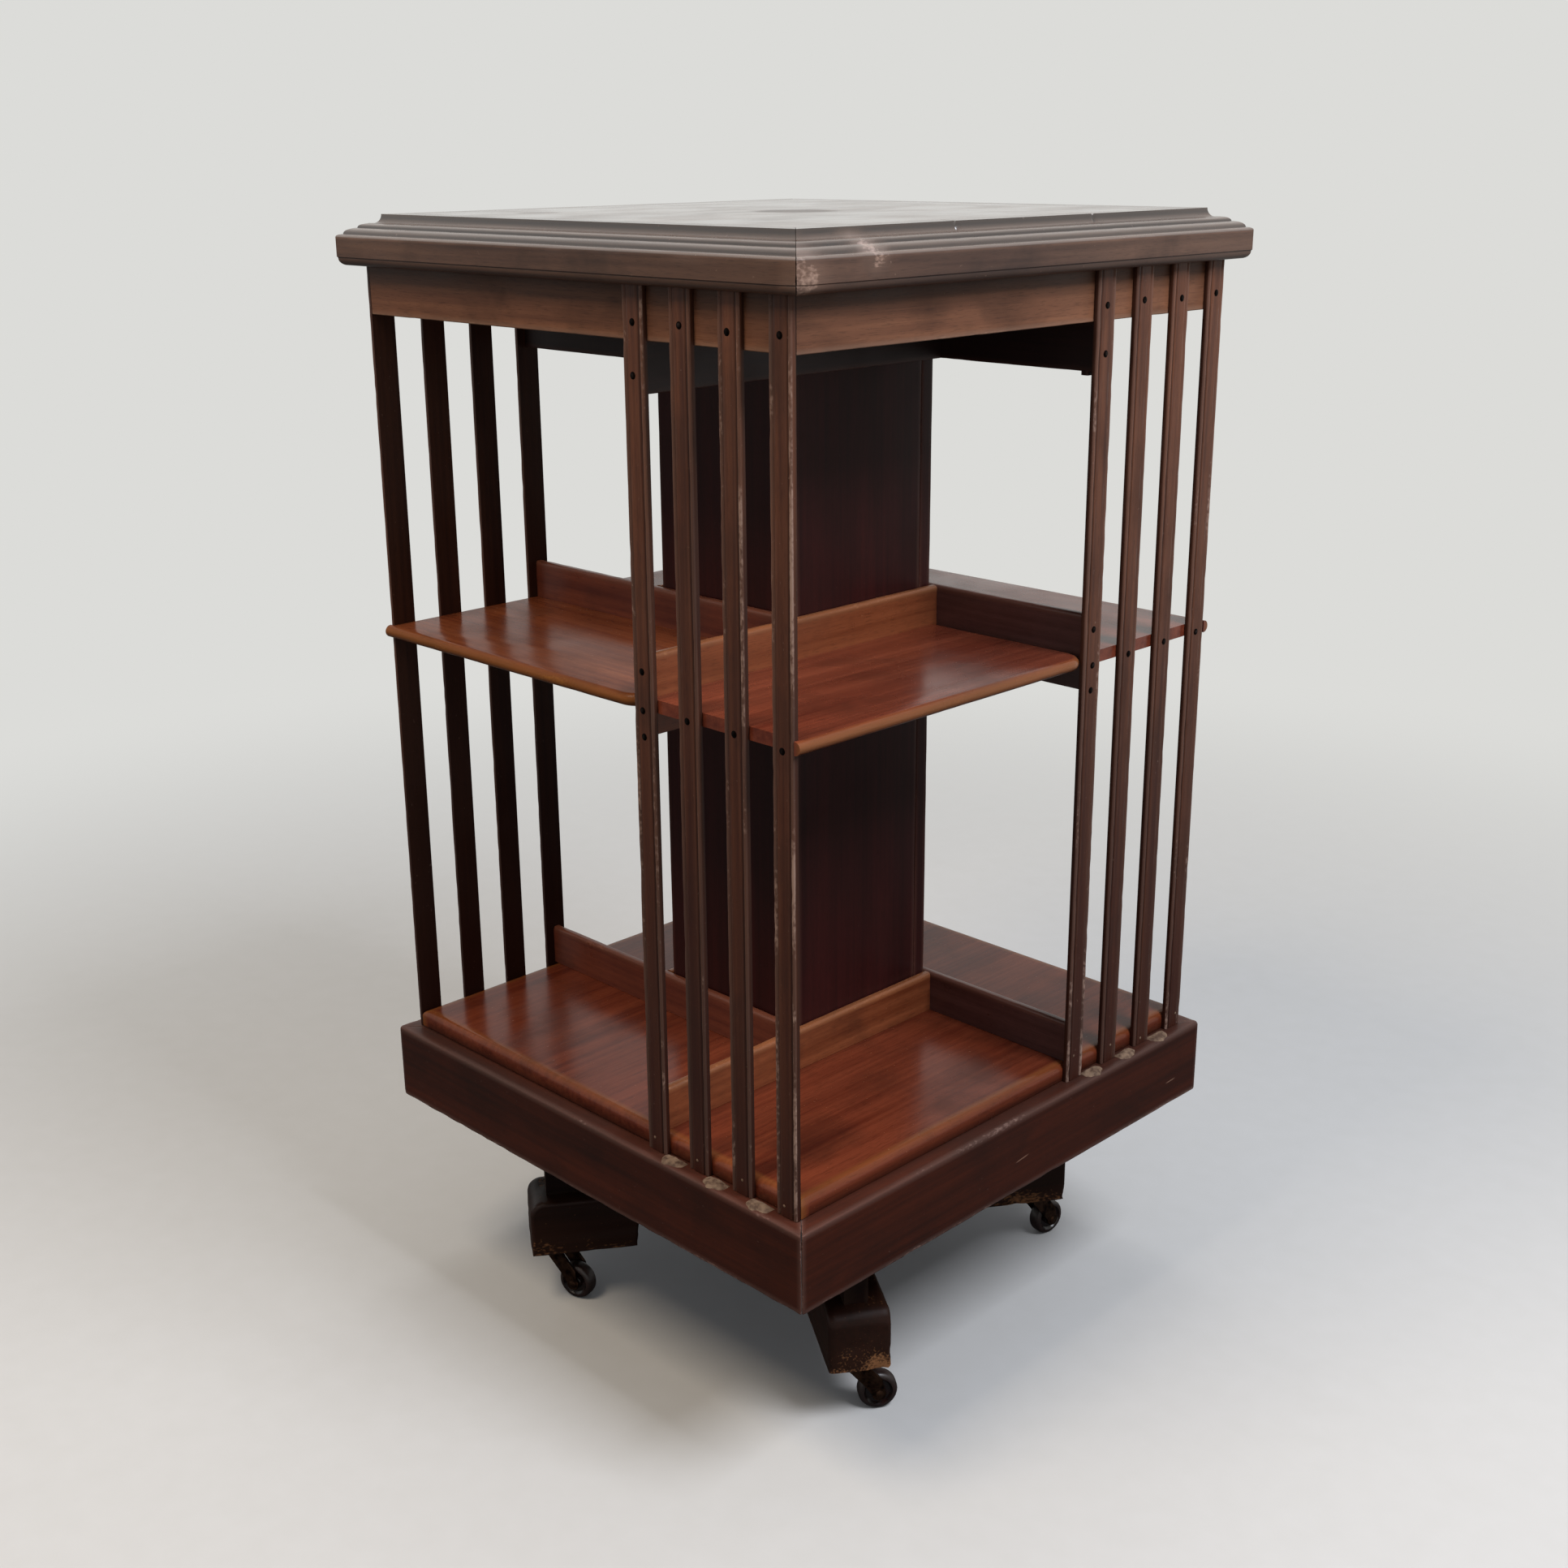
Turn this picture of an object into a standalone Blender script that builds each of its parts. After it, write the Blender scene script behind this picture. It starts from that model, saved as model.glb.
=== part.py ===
"""Two-tier revolving bookcase in mahogany on a cross base with casters.

Metres, +Z up. The floor is z = 0 and the spindle's axis is x = y = 0. The case repeats every quarter
turn, so each piece is drawn once, on the right side (+X), and turned to the back, left and front.
"""

import math

import bmesh
import bpy

# Fits
SEAT_GAP = 0.0003
RUNNING_FIT = 0.0004

# Case, across the outer faces of the frieze
CASE_WIDTH = 0.4290
COLUMN_WIDTH = 0.1415
COLUMN_PANEL = 0.0120
EDGE_ROUND = 0.0008

# Slats, screwed over the ends of the shelves
SLATS_PER_SIDE = 4
SLAT_WIDTH = 0.0190
SLAT_THICKNESS = 0.0040
SLAT_LAP = 0.0045
SLAT_BEAD = 0.0034
SLAT_QUIRK_WIDTH = 0.0012
SLAT_QUIRK_DEPTH = 0.0009

# Heights of the two tiers
LOWER_TIER = 0.3090
UPPER_TIER = 0.2635

# Boards inside the case
BOTTOM_SHELF_THICKNESS = 0.0135
BOTTOM_SHELF_ROUND = 0.0055
SHELF_THICKNESS = 0.0090
SHELF_NOSING = 0.0055
SHELF_CORNER_CLEARANCE = 0.0008
DIVIDER_THICKNESS = 0.0070
DIVIDER_ROUND = 0.0025
LOWER_STOP_HEIGHT = 0.0325
SHELF_STOP_HEIGHT = 0.0290
SHELF_BEARER_DEPTH = 0.0170
UPPER_RAIL_DEPTH = 0.0675
FRIEZE_HEIGHT = 0.0340
FRIEZE_THICKNESS = 0.0140

# Plinth under the slats
PLINTH_LEDGE = 0.0098
PLINTH_HEIGHT = 0.0605
PLINTH_THICKNESS = 0.0200
PLINTH_ROUND = 0.0022
PLINTH_LIFT = 0.0105

# Top with a reeded edge above a plain fascia
TOP_OVERHANG = 0.0115
TOP_FASCIA = 0.0195
TOP_FASCIA_ROUND = 0.0040
REED_COUNT = 3
REED_RUN = 0.0057
REED_RISE = 0.0031
TOP_FILLET = 0.0025
TOP_COVE_RUN = 0.0042
TOP_COVE_RISE = 0.0061

# Cross base: four arms, each with a foot block
ARM_TURN = math.radians(11.0)
ARM_REACH = 0.2235
ARM_THICKNESS = 0.0180
ARM_DEPTH = 0.0560
ARM_HOUSING = 0.0020
FOOT_TOE = 0.0140
FOOT_WIDTH = 0.0470
FOOT_LENGTH = 0.1050
FOOT_HEIGHT = 0.0480
FOOT_ROUND = 0.0120
FOOT_COVE = 0.0200

# Spindle and the cup that hangs the case on it
SPINDLE_DIAMETER = 0.0300
SPINDLE_CHAMFER = 0.0020
FLANGE_DIAMETER = 0.1200
FLANGE_THICKNESS = 0.0080
PIVOT_PLATE = 0.0050
PIVOT_PLATE_CLEARANCE = 0.0125
PIVOT_CUP_WALL = 0.0080
PIVOT_CUP_DEPTH = 0.0300

# Casters, each turned as it came to rest
CASTER_HEIGHT = 0.0460
CASTER_INSET = 0.0220
CASTER_TRAIL = 0.0180
CASTER_TURNS = (88, 25, 230, 143)
STEM_DIAMETER = 0.0100
STEM_LENGTH = 0.0250
CROWN_DIAMETER = 0.0260
CROWN_THICKNESS = 0.0040
CHEEK_THICKNESS = 0.0025
CHEEK_BOSS = 0.0055
CHEEK_BACK = 0.0070
CHEEK_FRONT = 0.0085
AXLE_DIAMETER = 0.0050
WHEEL_DIAMETER = 0.0300
WHEEL_WIDTH = 0.0120
WHEEL_ROUND = 0.0035
WHEEL_HUB = 0.0110
WHEEL_RIM = 0.0035
WHEEL_DISH = 0.0020
WHEEL_SIDE_PLAY = 0.0006

# Facets of round shapes
ARC_STEPS = 4
ROUND_FACETS = 32

# Levels, from the floor up
FOOT_TOP = CASTER_HEIGHT + FOOT_HEIGHT
ARM_TOP = FOOT_TOP + ARM_DEPTH
PLINTH_BOTTOM = ARM_TOP + PLINTH_LIFT
PLINTH_TOP = PLINTH_BOTTOM + PLINTH_HEIGHT
BOTTOM_SHELF_BASE = PLINTH_TOP + SEAT_GAP
BOTTOM_SHELF_TOP = BOTTOM_SHELF_BASE + BOTTOM_SHELF_THICKNESS
SHELF_BASE = BOTTOM_SHELF_TOP + LOWER_TIER
SHELF_TOP = SHELF_BASE + SHELF_THICKNESS
TOP_BASE = SHELF_TOP + UPPER_TIER
PIECE_TOP = TOP_BASE - SEAT_GAP
FRIEZE_BASE = PIECE_TOP - FRIEZE_HEIGHT

# Distances from the spindle's axis
CASE_HALF = CASE_WIDTH / 2
COLUMN_HALF = COLUMN_WIDTH / 2
SLAT_BACK = CASE_HALF + SEAT_GAP
SLAT_FACE = SLAT_BACK + SLAT_THICKNESS
PLINTH_HALF = SLAT_FACE + PLINTH_LEDGE
TOP_HALF = SLAT_FACE + TOP_OVERHANG
FRIEZE_BACK = CASE_HALF - FRIEZE_THICKNESS
DIVIDER_BACK = COLUMN_HALF + SEAT_GAP
DIVIDER_FACE = DIVIDER_BACK + DIVIDER_THICKNESS
SHELF_BACK = DIVIDER_FACE + SEAT_GAP
SHELF_NOSE = CASE_HALF + SHELF_NOSING
FIRST_SLAT = DIVIDER_BACK - SLAT_LAP
SLAT_PITCH = (CASE_HALF - SLAT_WIDTH - FIRST_SLAT) / (SLATS_PER_SIDE - 1)
CASTER_REACH = ARM_REACH - CASTER_INSET
AXLE_HEIGHT = WHEEL_DIAMETER / 2 * math.cos(math.pi / ROUND_FACETS)

SIDES = ("right", "back", "left", "front")
QUARTER_TURN = math.pi / 2


# Mesh tools

def loft(sections, closed=False):
    """A skin over rings of matching points, capped at both ends unless the last ring meets the first."""
    bm = bmesh.new()
    rings = [[bm.verts.new(point) for point in section] for section in sections]
    pairs = list(zip(rings, rings[1:]))
    if closed:
        pairs.append((rings[-1], rings[0]))
    else:
        bm.faces.new(rings[0])
        bm.faces.new(rings[-1])
    for near, far in pairs:
        for i in range(len(near)):
            j = (i + 1) % len(near)
            bm.faces.new((near[i], near[j], far[j], far[i]))
    bmesh.ops.recalc_face_normals(bm, faces=bm.faces)
    return bm


def along(axis, outline, start, end):
    """An outline drawn in the other two axes, taken in the order x, y, z, and drawn out along one axis."""
    sections = []
    for place in (start, end):
        sections.append([point[:axis] + (place,) + point[axis:] for point in outline])
    return loft(sections)


def block(x, y, z, edge=EDGE_ROUND):
    """A board with its six faces given as pairs of limits and its edges eased."""
    outline = [(x[0], y[0]), (x[1], y[0]), (x[1], y[1]), (x[0], y[1])]
    return eased(along(2, outline, *z), edge)


def eased(bm, width):
    """The same mesh with every edge rounded over."""
    bmesh.ops.bevel(bm, geom=bm.edges[:], offset=width, segments=2, profile=0.5, affect="EDGES")
    return bm


def mitred(outer, thickness, z, edge):
    """A board on the right side of a square frame, cut at 45 degrees at both ends."""
    inner = outer - thickness
    shy = SEAT_GAP * math.sqrt(0.5)
    outline = [(inner, shy - inner), (outer, shy - outer), (outer, outer - shy), (inner, inner - shy)]
    return eased(along(2, outline, *z), edge)


def arc(centre, radius, start, end, steps=ARC_STEPS):
    """Points along a round or elliptical arc, by angles in degrees."""
    radii = radius if isinstance(radius, tuple) else (radius, radius)
    angles = [math.radians(start + (end - start) * i / steps) for i in range(steps + 1)]
    return [(centre[0] + radii[0] * math.cos(a), centre[1] + radii[1] * math.sin(a)) for a in angles]


def squares(profile):
    """A square slab whose edge follows pairs of half width and height."""
    return loft([[(h, -h, z), (h, h, z), (-h, h, z), (-h, -h, z)] for h, z in profile])


def turned(profile, closed=False):
    """A round piece about the Z axis from pairs of radius and height."""
    angles = [2 * math.pi * (i + 0.5) / ROUND_FACETS for i in range(ROUND_FACETS)]
    if closed:
        return loft([[(r * math.cos(a), r * math.sin(a), z) for r, z in profile] for a in angles], True)
    return loft([[(r * math.cos(a), r * math.sin(a), z) for a in angles] for r, z in profile])


def mesh_from(bm, name):
    mesh = bpy.data.meshes.new(name)
    bm.to_mesh(mesh)
    bm.free()
    return mesh


def combined(base, others, operation):
    """One mesh from a closed mesh and others joined to it or cut from it."""
    helpers = [bpy.data.objects.new("helper", mesh_from(bm, "helper")) for bm in [base] + others]
    for helper in helpers:
        bpy.context.scene.collection.objects.link(helper)
    for other in helpers[1:]:
        modifier = helpers[0].modifiers.new("combine", "BOOLEAN")
        modifier.operation = operation
        modifier.object = other
    graph = bpy.context.evaluated_depsgraph_get()
    bm = bmesh.new()
    bm.from_object(helpers[0], graph)
    for helper in helpers:
        bpy.data.objects.remove(helper)
    return bm


# Objects and materials

def clear_scene():
    for thing in list(bpy.data.objects):
        bpy.data.objects.remove(thing)


def finish(name, colour, roughness, metallic=0.0):
    material = bpy.data.materials.new(name)
    material.use_nodes = True
    shader = material.node_tree.nodes["Principled BSDF"]
    shader.inputs["Base Color"].default_value = (*colour, 1.0)
    shader.inputs["Roughness"].default_value = roughness
    shader.inputs["Metallic"].default_value = metallic
    material.diffuse_color = (*colour, 1.0)
    return material


def frame(name, parent=None, place=(0, 0, 0), turn=0.0):
    """An empty that carries the pieces of one group."""
    empty = bpy.data.objects.new(name, None)
    empty.parent = parent
    empty.location = place
    empty.rotation_euler = (0, 0, turn)
    bpy.context.scene.collection.objects.link(empty)
    return empty


def piece(name, mesh, material, parent, place=(0, 0, 0)):
    """One sub-part, shaded smooth with its corners kept sharp."""
    if not mesh.materials:
        mesh.materials.append(material)
    mesh.shade_smooth()
    mesh.set_sharp_from_angle(angle=math.radians(30))
    thing = bpy.data.objects.new(name, mesh)
    thing.parent = parent
    thing.location = place
    bpy.context.scene.collection.objects.link(thing)
    return thing


def four_sides(kind, bm, material, frames):
    """The same piece on each side of the case, named for its side."""
    mesh = mesh_from(bm, kind)
    for side, parent in zip(SIDES, frames):
        piece(f"{kind}_{side}", mesh, material, parent)


# Case

def plinth_board():
    """Apron board under the slats, its top forming the ledge that they stand on."""
    return mitred(PLINTH_HALF, PLINTH_THICKNESS, (PLINTH_BOTTOM, PLINTH_TOP), PLINTH_ROUND)


def bottom_shelf():
    """Square board on the plinth with a rounded upper edge and a hole for the spindle."""
    start = CASE_HALF - BOTTOM_SHELF_ROUND
    rounding = arc((start, BOTTOM_SHELF_TOP - BOTTOM_SHELF_ROUND), BOTTOM_SHELF_ROUND, 0, 90)
    slab = squares([(CASE_HALF, BOTTOM_SHELF_BASE)] + rounding)
    hole = SPINDLE_DIAMETER / 2 + RUNNING_FIT
    bore = turned([(hole, PLINTH_BOTTOM), (hole, BOTTOM_SHELF_TOP + BOTTOM_SHELF_THICKNESS)])
    return combined(slab, [bore], "DIFFERENCE")


def column_panel():
    """One wall of the hollow centre column, lapping the next wall at the corner."""
    x = (COLUMN_HALF - COLUMN_PANEL, COLUMN_HALF)
    y = (-COLUMN_HALF, COLUMN_HALF - COLUMN_PANEL - SEAT_GAP)
    return block(x, y, (BOTTOM_SHELF_TOP + SEAT_GAP, PIECE_TOP))


def rounded_rail(bottom, top):
    """A thin board on edge from the first slat of the next side to the far corner of the column."""
    middle = (DIVIDER_BACK + DIVIDER_FACE) / 2
    radius = min(DIVIDER_ROUND, DIVIDER_THICKNESS / 2)
    outline = [(DIVIDER_BACK, bottom), (DIVIDER_FACE, bottom)]
    outline += arc((DIVIDER_FACE - radius, top - radius), radius, 0, 90)
    outline += [(middle, top)] + arc((DIVIDER_BACK + radius, top - radius), radius, 90, 180)
    return along(1, outline, -CASE_HALF, COLUMN_HALF)


def shelf_board():
    """Shelf of one compartment: a rounded nose to the front, with the corner by the slats rounded off."""
    past_nose = SHELF_NOSE - SLAT_BACK
    past_slat = COLUMN_HALF - FIRST_SLAT
    reach = past_nose + past_slat + SHELF_CORNER_CLEARANCE
    spare = reach ** 2 - past_nose ** 2 - past_slat ** 2 + SHELF_CORNER_CLEARANCE ** 2
    corner = reach + math.sqrt(spare)
    centre = (SHELF_NOSE - corner, COLUMN_HALF - corner)
    sections = []
    half = SHELF_THICKNESS / 2
    for inset, height in arc((half, SHELF_BASE + half), half, 270, 90, 2 * ARC_STEPS):
        outline = [(SHELF_BACK, -CASE_HALF), (SLAT_BACK, -CASE_HALF), (SLAT_BACK, -SLAT_FACE)]
        outline += [(SHELF_NOSE - inset, -SLAT_FACE)]
        outline += arc(centre, corner - inset, 0, 90, 2 * ARC_STEPS)
        outline += [(SHELF_BACK, COLUMN_HALF - inset)]
        sections.append([(x, y, height) for x, y in outline])
    return loft(sections)


def upper_rail():
    """Deep board hung below the top, notched at its outer end to pass under the frieze."""
    bottom = PIECE_TOP - UPPER_RAIL_DEPTH
    notch = FRIEZE_BASE - SEAT_GAP
    behind = SEAT_GAP - FRIEZE_BACK
    outline = [(-CASE_HALF, bottom), (COLUMN_HALF, bottom), (COLUMN_HALF, PIECE_TOP)]
    outline += [(behind, PIECE_TOP), (behind, notch), (-CASE_HALF, notch)]
    return eased(along(0, outline, DIVIDER_BACK, DIVIDER_FACE), EDGE_ROUND)


def frieze_board():
    """Board under the top that the slats are screwed to."""
    return mitred(CASE_HALF, FRIEZE_THICKNESS, (FRIEZE_BASE, PIECE_TOP), EDGE_ROUND)


def slat():
    """Upright lath with a bead and quirk along each front edge, drawn for the first place on its side."""
    radius = SLAT_BEAD / 2
    quirk = SLAT_FACE - SLAT_QUIRK_DEPTH
    near = FIRST_SLAT
    far = FIRST_SLAT + SLAT_WIDTH
    outline = [(SLAT_BACK, near), (SLAT_FACE - radius, near)]
    outline += arc((SLAT_FACE - radius, near + radius), radius, -90, 0)[1:]
    outline += [(quirk, near + SLAT_BEAD), (SLAT_FACE, near + SLAT_BEAD + SLAT_QUIRK_WIDTH)]
    outline += [(SLAT_FACE, far - SLAT_BEAD - SLAT_QUIRK_WIDTH), (quirk, far - SLAT_BEAD)]
    outline += arc((SLAT_FACE - radius, far - radius), radius, 0, 90)
    outline += [(SLAT_BACK, far)]
    return along(2, outline, PLINTH_TOP + SEAT_GAP, PIECE_TOP)


def top_board():
    """Top with a plain fascia, three reeds stepping in above it, a fillet and a cove."""
    profile = arc((TOP_HALF - TOP_FASCIA_ROUND, TOP_BASE + TOP_FASCIA_ROUND), TOP_FASCIA_ROUND, 270, 360)
    half = TOP_HALF
    level = TOP_BASE + TOP_FASCIA
    for _ in range(REED_COUNT):
        profile += arc((half - REED_RUN, level), (REED_RUN, REED_RISE), 0, 90)
        half -= REED_RUN
        level += REED_RISE
    half -= TOP_FILLET
    hollow = (TOP_COVE_RUN, TOP_COVE_RISE)
    profile += arc((half, level + TOP_COVE_RISE), hollow, 270, 180)
    return squares(profile)


def pivot_cup():
    """Iron plate under the top with a cup that turns on the end of the spindle."""
    plate = COLUMN_HALF - COLUMN_PANEL - PIVOT_PLATE_CLEARANCE
    bore = SPINDLE_DIAMETER / 2 + RUNNING_FIT
    ceiling = PIECE_TOP - PIVOT_PLATE
    mouth = ceiling - PIVOT_CUP_DEPTH
    wall = bore + PIVOT_CUP_WALL
    profile = [(plate, PIECE_TOP), (plate, ceiling), (wall, ceiling), (wall, mouth)]
    return turned(profile + [(bore, mouth), (bore, ceiling)])


def build_case(wood, iron):
    case = frame("case")
    sides = [frame(f"{name}_side", case, turn=QUARTER_TURN * k) for k, name in enumerate(SIDES)]
    four_sides("plinth", plinth_board(), wood["plinth"], sides)
    piece("bottom_shelf", mesh_from(bottom_shelf(), "bottom_shelf"), wood["shelf"], case)
    four_sides("column_panel", column_panel(), wood["column"], sides)
    stop_base = BOTTOM_SHELF_TOP + SEAT_GAP
    lower_stop = rounded_rail(stop_base, BOTTOM_SHELF_TOP + LOWER_STOP_HEIGHT)
    four_sides("lower_stop", lower_stop, wood["rail"], sides)
    divider = rounded_rail(SHELF_BASE - SHELF_BEARER_DEPTH, SHELF_TOP + SHELF_STOP_HEIGHT)
    four_sides("shelf_divider", divider, wood["rail"], sides)
    four_sides("shelf_board", shelf_board(), wood["shelf"], sides)
    four_sides("upper_rail", upper_rail(), wood["column"], sides)
    four_sides("frieze", frieze_board(), wood["frieze"], sides)
    slat_mesh = mesh_from(slat(), "slat")
    for side, parent in zip(SIDES, sides):
        for i in range(SLATS_PER_SIDE):
            piece(f"slat_{side}_{i + 1}", slat_mesh, wood["slat"], parent, (0, SLAT_PITCH * i, 0))
    piece("top_board", mesh_from(top_board(), "top_board"), wood["top"], case)
    piece("pivot_cup", mesh_from(pivot_cup(), "pivot_cup"), iron, case)


# Stand

def arm():
    """Quarter of the cross: a rail from the centre, pointed to meet the others, over a foot block."""
    half = ARM_THICKNESS / 2
    tip = SEAT_GAP * math.sqrt(2)
    end = ARM_REACH - FOOT_TOE
    outline = [(tip, 0), (tip + half, -half), (end, -half), (end, half), (tip + half, half)]
    rail = along(2, outline, FOOT_TOP - ARM_HOUSING, ARM_TOP)
    stem = STEM_DIAMETER / 2 + RUNNING_FIT
    bore_top = CASTER_HEIGHT + STEM_LENGTH + RUNNING_FIT
    bore = turned([(stem, 0), (stem, bore_top)])
    bmesh.ops.translate(bore, verts=bore.verts, vec=(CASTER_REACH, 0, 0))
    return combined(combined(foot_block(), [rail], "UNION"), [bore], "DIFFERENCE")


def foot_block():
    """Block under the end of an arm with a rounded toe in front and a hollow behind."""
    back = ARM_REACH - FOOT_LENGTH
    cove = (FOOT_COVE, FOOT_HEIGHT)
    toe = (ARM_REACH - FOOT_ROUND, FOOT_TOP - FOOT_ROUND)
    outline = [(ARM_REACH, CASTER_HEIGHT)] + arc(toe, FOOT_ROUND, 0, 90)
    outline += arc((back, CASTER_HEIGHT), cove, 90, 0)
    return along(1, outline, -FOOT_WIDTH / 2, FOOT_WIDTH / 2)


def spindle():
    """Iron post with a flange screwed down over the meeting of the arms."""
    radius = SPINDLE_DIAMETER / 2
    base = ARM_TOP + SEAT_GAP
    collar = base + FLANGE_THICKNESS
    end = PIECE_TOP - PIVOT_PLATE - SEAT_GAP
    profile = [(FLANGE_DIAMETER / 2, base), (FLANGE_DIAMETER / 2, collar), (radius, collar)]
    return turned(profile + [(radius, end - SPINDLE_CHAMFER), (radius - SPINDLE_CHAMFER, end)])


def caster_fork():
    """Stem, crown, two cheeks and the axle pin, riveted into one, about the swivel axis."""
    crown_top = CASTER_HEIGHT - SEAT_GAP
    crown_base = crown_top - CROWN_THICKNESS
    stem = STEM_DIAMETER / 2
    crown = CROWN_DIAMETER / 2
    post = [(crown, crown_base), (crown, crown_top), (stem, crown_top), (stem, CASTER_HEIGHT + STEM_LENGTH)]
    inner = WHEEL_WIDTH / 2 + WHEEL_SIDE_PLAY
    outer = inner + CHEEK_THICKNESS
    hub = (CASTER_TRAIL, AXLE_HEIGHT)
    root = crown_base + CROWN_THICKNESS / 2
    outline = [(CHEEK_FRONT, root), (-CHEEK_BACK, root)] + arc(hub, CHEEK_BOSS, 180, 390, 2 * ARC_STEPS)
    cheeks = [along(1, outline, inner, outer), along(1, outline, -outer, -inner)]
    pin = arc(hub, AXLE_DIAMETER / 2, 0, 360, ROUND_FACETS // 2)[:-1]
    axle = along(1, pin, -outer - CHEEK_THICKNESS / 2, outer + CHEEK_THICKNESS / 2)
    return combined(turned(post), cheeks + [axle], "UNION")


def caster_wheel():
    """Wheel with a dished face on each side, turned about its axle along Y."""
    bore = AXLE_DIAMETER / 2 + RUNNING_FIT
    half = WHEEL_WIDTH / 2
    radius = WHEEL_DIAMETER / 2
    hub = WHEEL_HUB / 2
    rim = radius - WHEEL_RIM
    floor = half - WHEEL_DISH
    face = [(bore, half), (hub, half), (hub, floor), (rim - WHEEL_DISH, floor), (rim - WHEEL_DISH / 2, half)]
    face += arc((radius - WHEEL_ROUND, half - WHEEL_ROUND), WHEEL_ROUND, 90, 0)
    profile = face + [(r, -y) for r, y in reversed(face)]
    bm = turned(profile, closed=True)
    for vertex in bm.verts:
        x, y, z = vertex.co
        vertex.co = (x, -z, y)
    return bm


def build_stand(wood, iron, brass, tyre):
    stand = frame("stand")
    arm_mesh = mesh_from(arm(), "arm")
    fork_mesh = mesh_from(caster_fork(), "caster_fork")
    wheel_mesh = mesh_from(caster_wheel(), "caster_wheel")
    axle = (CASTER_TRAIL, 0, AXLE_HEIGHT)
    piece("spindle", mesh_from(spindle(), "spindle"), iron, stand)
    for k, turn in enumerate(CASTER_TURNS):
        mount = frame(f"arm_mount_{k + 1}", stand, turn=QUARTER_TURN * (k - 0.5) + ARM_TURN)
        piece(f"arm_{k + 1}", arm_mesh, wood["stand"], mount)
        caster = frame(f"caster_{k + 1}", mount, (CASTER_REACH, 0, 0), math.radians(turn))
        piece(f"caster_fork_{k + 1}", fork_mesh, brass, caster)
        piece(f"caster_wheel_{k + 1}", wheel_mesh, tyre, caster, axle)


clear_scene()
WOOD = {
    "top": finish("mahogany_top", (0.100, 0.060, 0.045), 0.45),
    "frieze": finish("mahogany_frieze", (0.130, 0.055, 0.030), 0.40),
    "slat": finish("mahogany_slat", (0.070, 0.030, 0.022), 0.40),
    "shelf": finish("mahogany_shelf", (0.170, 0.045, 0.022), 0.25),
    "rail": finish("mahogany_rail", (0.150, 0.050, 0.022), 0.35),
    "column": finish("mahogany_column", (0.026, 0.010, 0.009), 0.40),
    "plinth": finish("mahogany_plinth", (0.048, 0.017, 0.012), 0.35),
    "stand": finish("mahogany_stand", (0.030, 0.014, 0.011), 0.50),
}
IRON = finish("blackened_iron", (0.060, 0.058, 0.055), 0.50, 1.0)
BRASS = finish("aged_brass", (0.320, 0.200, 0.080), 0.40, 1.0)
TYRE = finish("dark_wheel", (0.030, 0.022, 0.020), 0.45)
build_case(WOOD, IRON)
build_stand(WOOD, IRON, BRASS, TYRE)
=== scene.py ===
import math

import bmesh
import bpy
from mathutils import Matrix, Vector, noise


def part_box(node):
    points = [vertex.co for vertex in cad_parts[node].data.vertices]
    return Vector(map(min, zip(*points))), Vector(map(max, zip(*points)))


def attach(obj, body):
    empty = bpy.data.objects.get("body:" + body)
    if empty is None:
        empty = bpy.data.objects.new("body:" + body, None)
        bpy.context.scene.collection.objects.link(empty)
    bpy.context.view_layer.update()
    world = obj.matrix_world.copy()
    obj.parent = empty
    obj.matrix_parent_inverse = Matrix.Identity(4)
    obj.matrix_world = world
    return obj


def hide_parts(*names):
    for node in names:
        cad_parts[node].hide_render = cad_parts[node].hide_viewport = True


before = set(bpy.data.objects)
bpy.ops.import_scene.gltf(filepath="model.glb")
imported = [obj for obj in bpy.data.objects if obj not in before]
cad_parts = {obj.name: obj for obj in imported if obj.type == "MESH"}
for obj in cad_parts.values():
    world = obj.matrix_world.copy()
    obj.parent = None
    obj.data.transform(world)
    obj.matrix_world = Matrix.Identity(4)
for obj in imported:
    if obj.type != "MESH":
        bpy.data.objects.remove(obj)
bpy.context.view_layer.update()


# Cross rails of the stand
# Two straight mahogany rails, half-lapped into a cross and stained nearly black with age and dust.
# Their ends are housed in the foot blocks, and the spindle's flange is screwed down over the lap.

RAIL_REACH = 0.2095
RAIL_THICKNESS = 0.0180
RAIL_BOTTOM = 0.0920
RAIL_TOP = 0.1500
RAIL_EASE = 0.0016
LAP_GAP = 0.0002
ARM_ANGLES = [math.radians(angle) for angle in (-34, 56, 146, 236)]
KNOCK_SPACING = 0.012
STATION = 0.007


def linear(code):
    """An sRGB hex colour as linear red, green, blue and alpha."""
    parts = [int(code[i:i + 2], 16) / 255 for i in (1, 3, 5)]
    return [c / 12.92 if c <= 0.04045 else ((c + 0.055) / 1.055) ** 2.4 for c in parts] + [1.0]


def add(tree, kind, inputs=None, **settings):
    """One shader node with its settings, its inputs given as values or as the sockets to link."""
    node = tree.nodes.new("ShaderNode" + kind)
    for name, value in settings.items():
        setattr(node, name, value)
    for name, value in (inputs or {}).items():
        if isinstance(value, bpy.types.NodeSocket):
            tree.links.new(value, node.inputs[name])
        else:
            node.inputs[name].default_value = value
    return node


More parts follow.
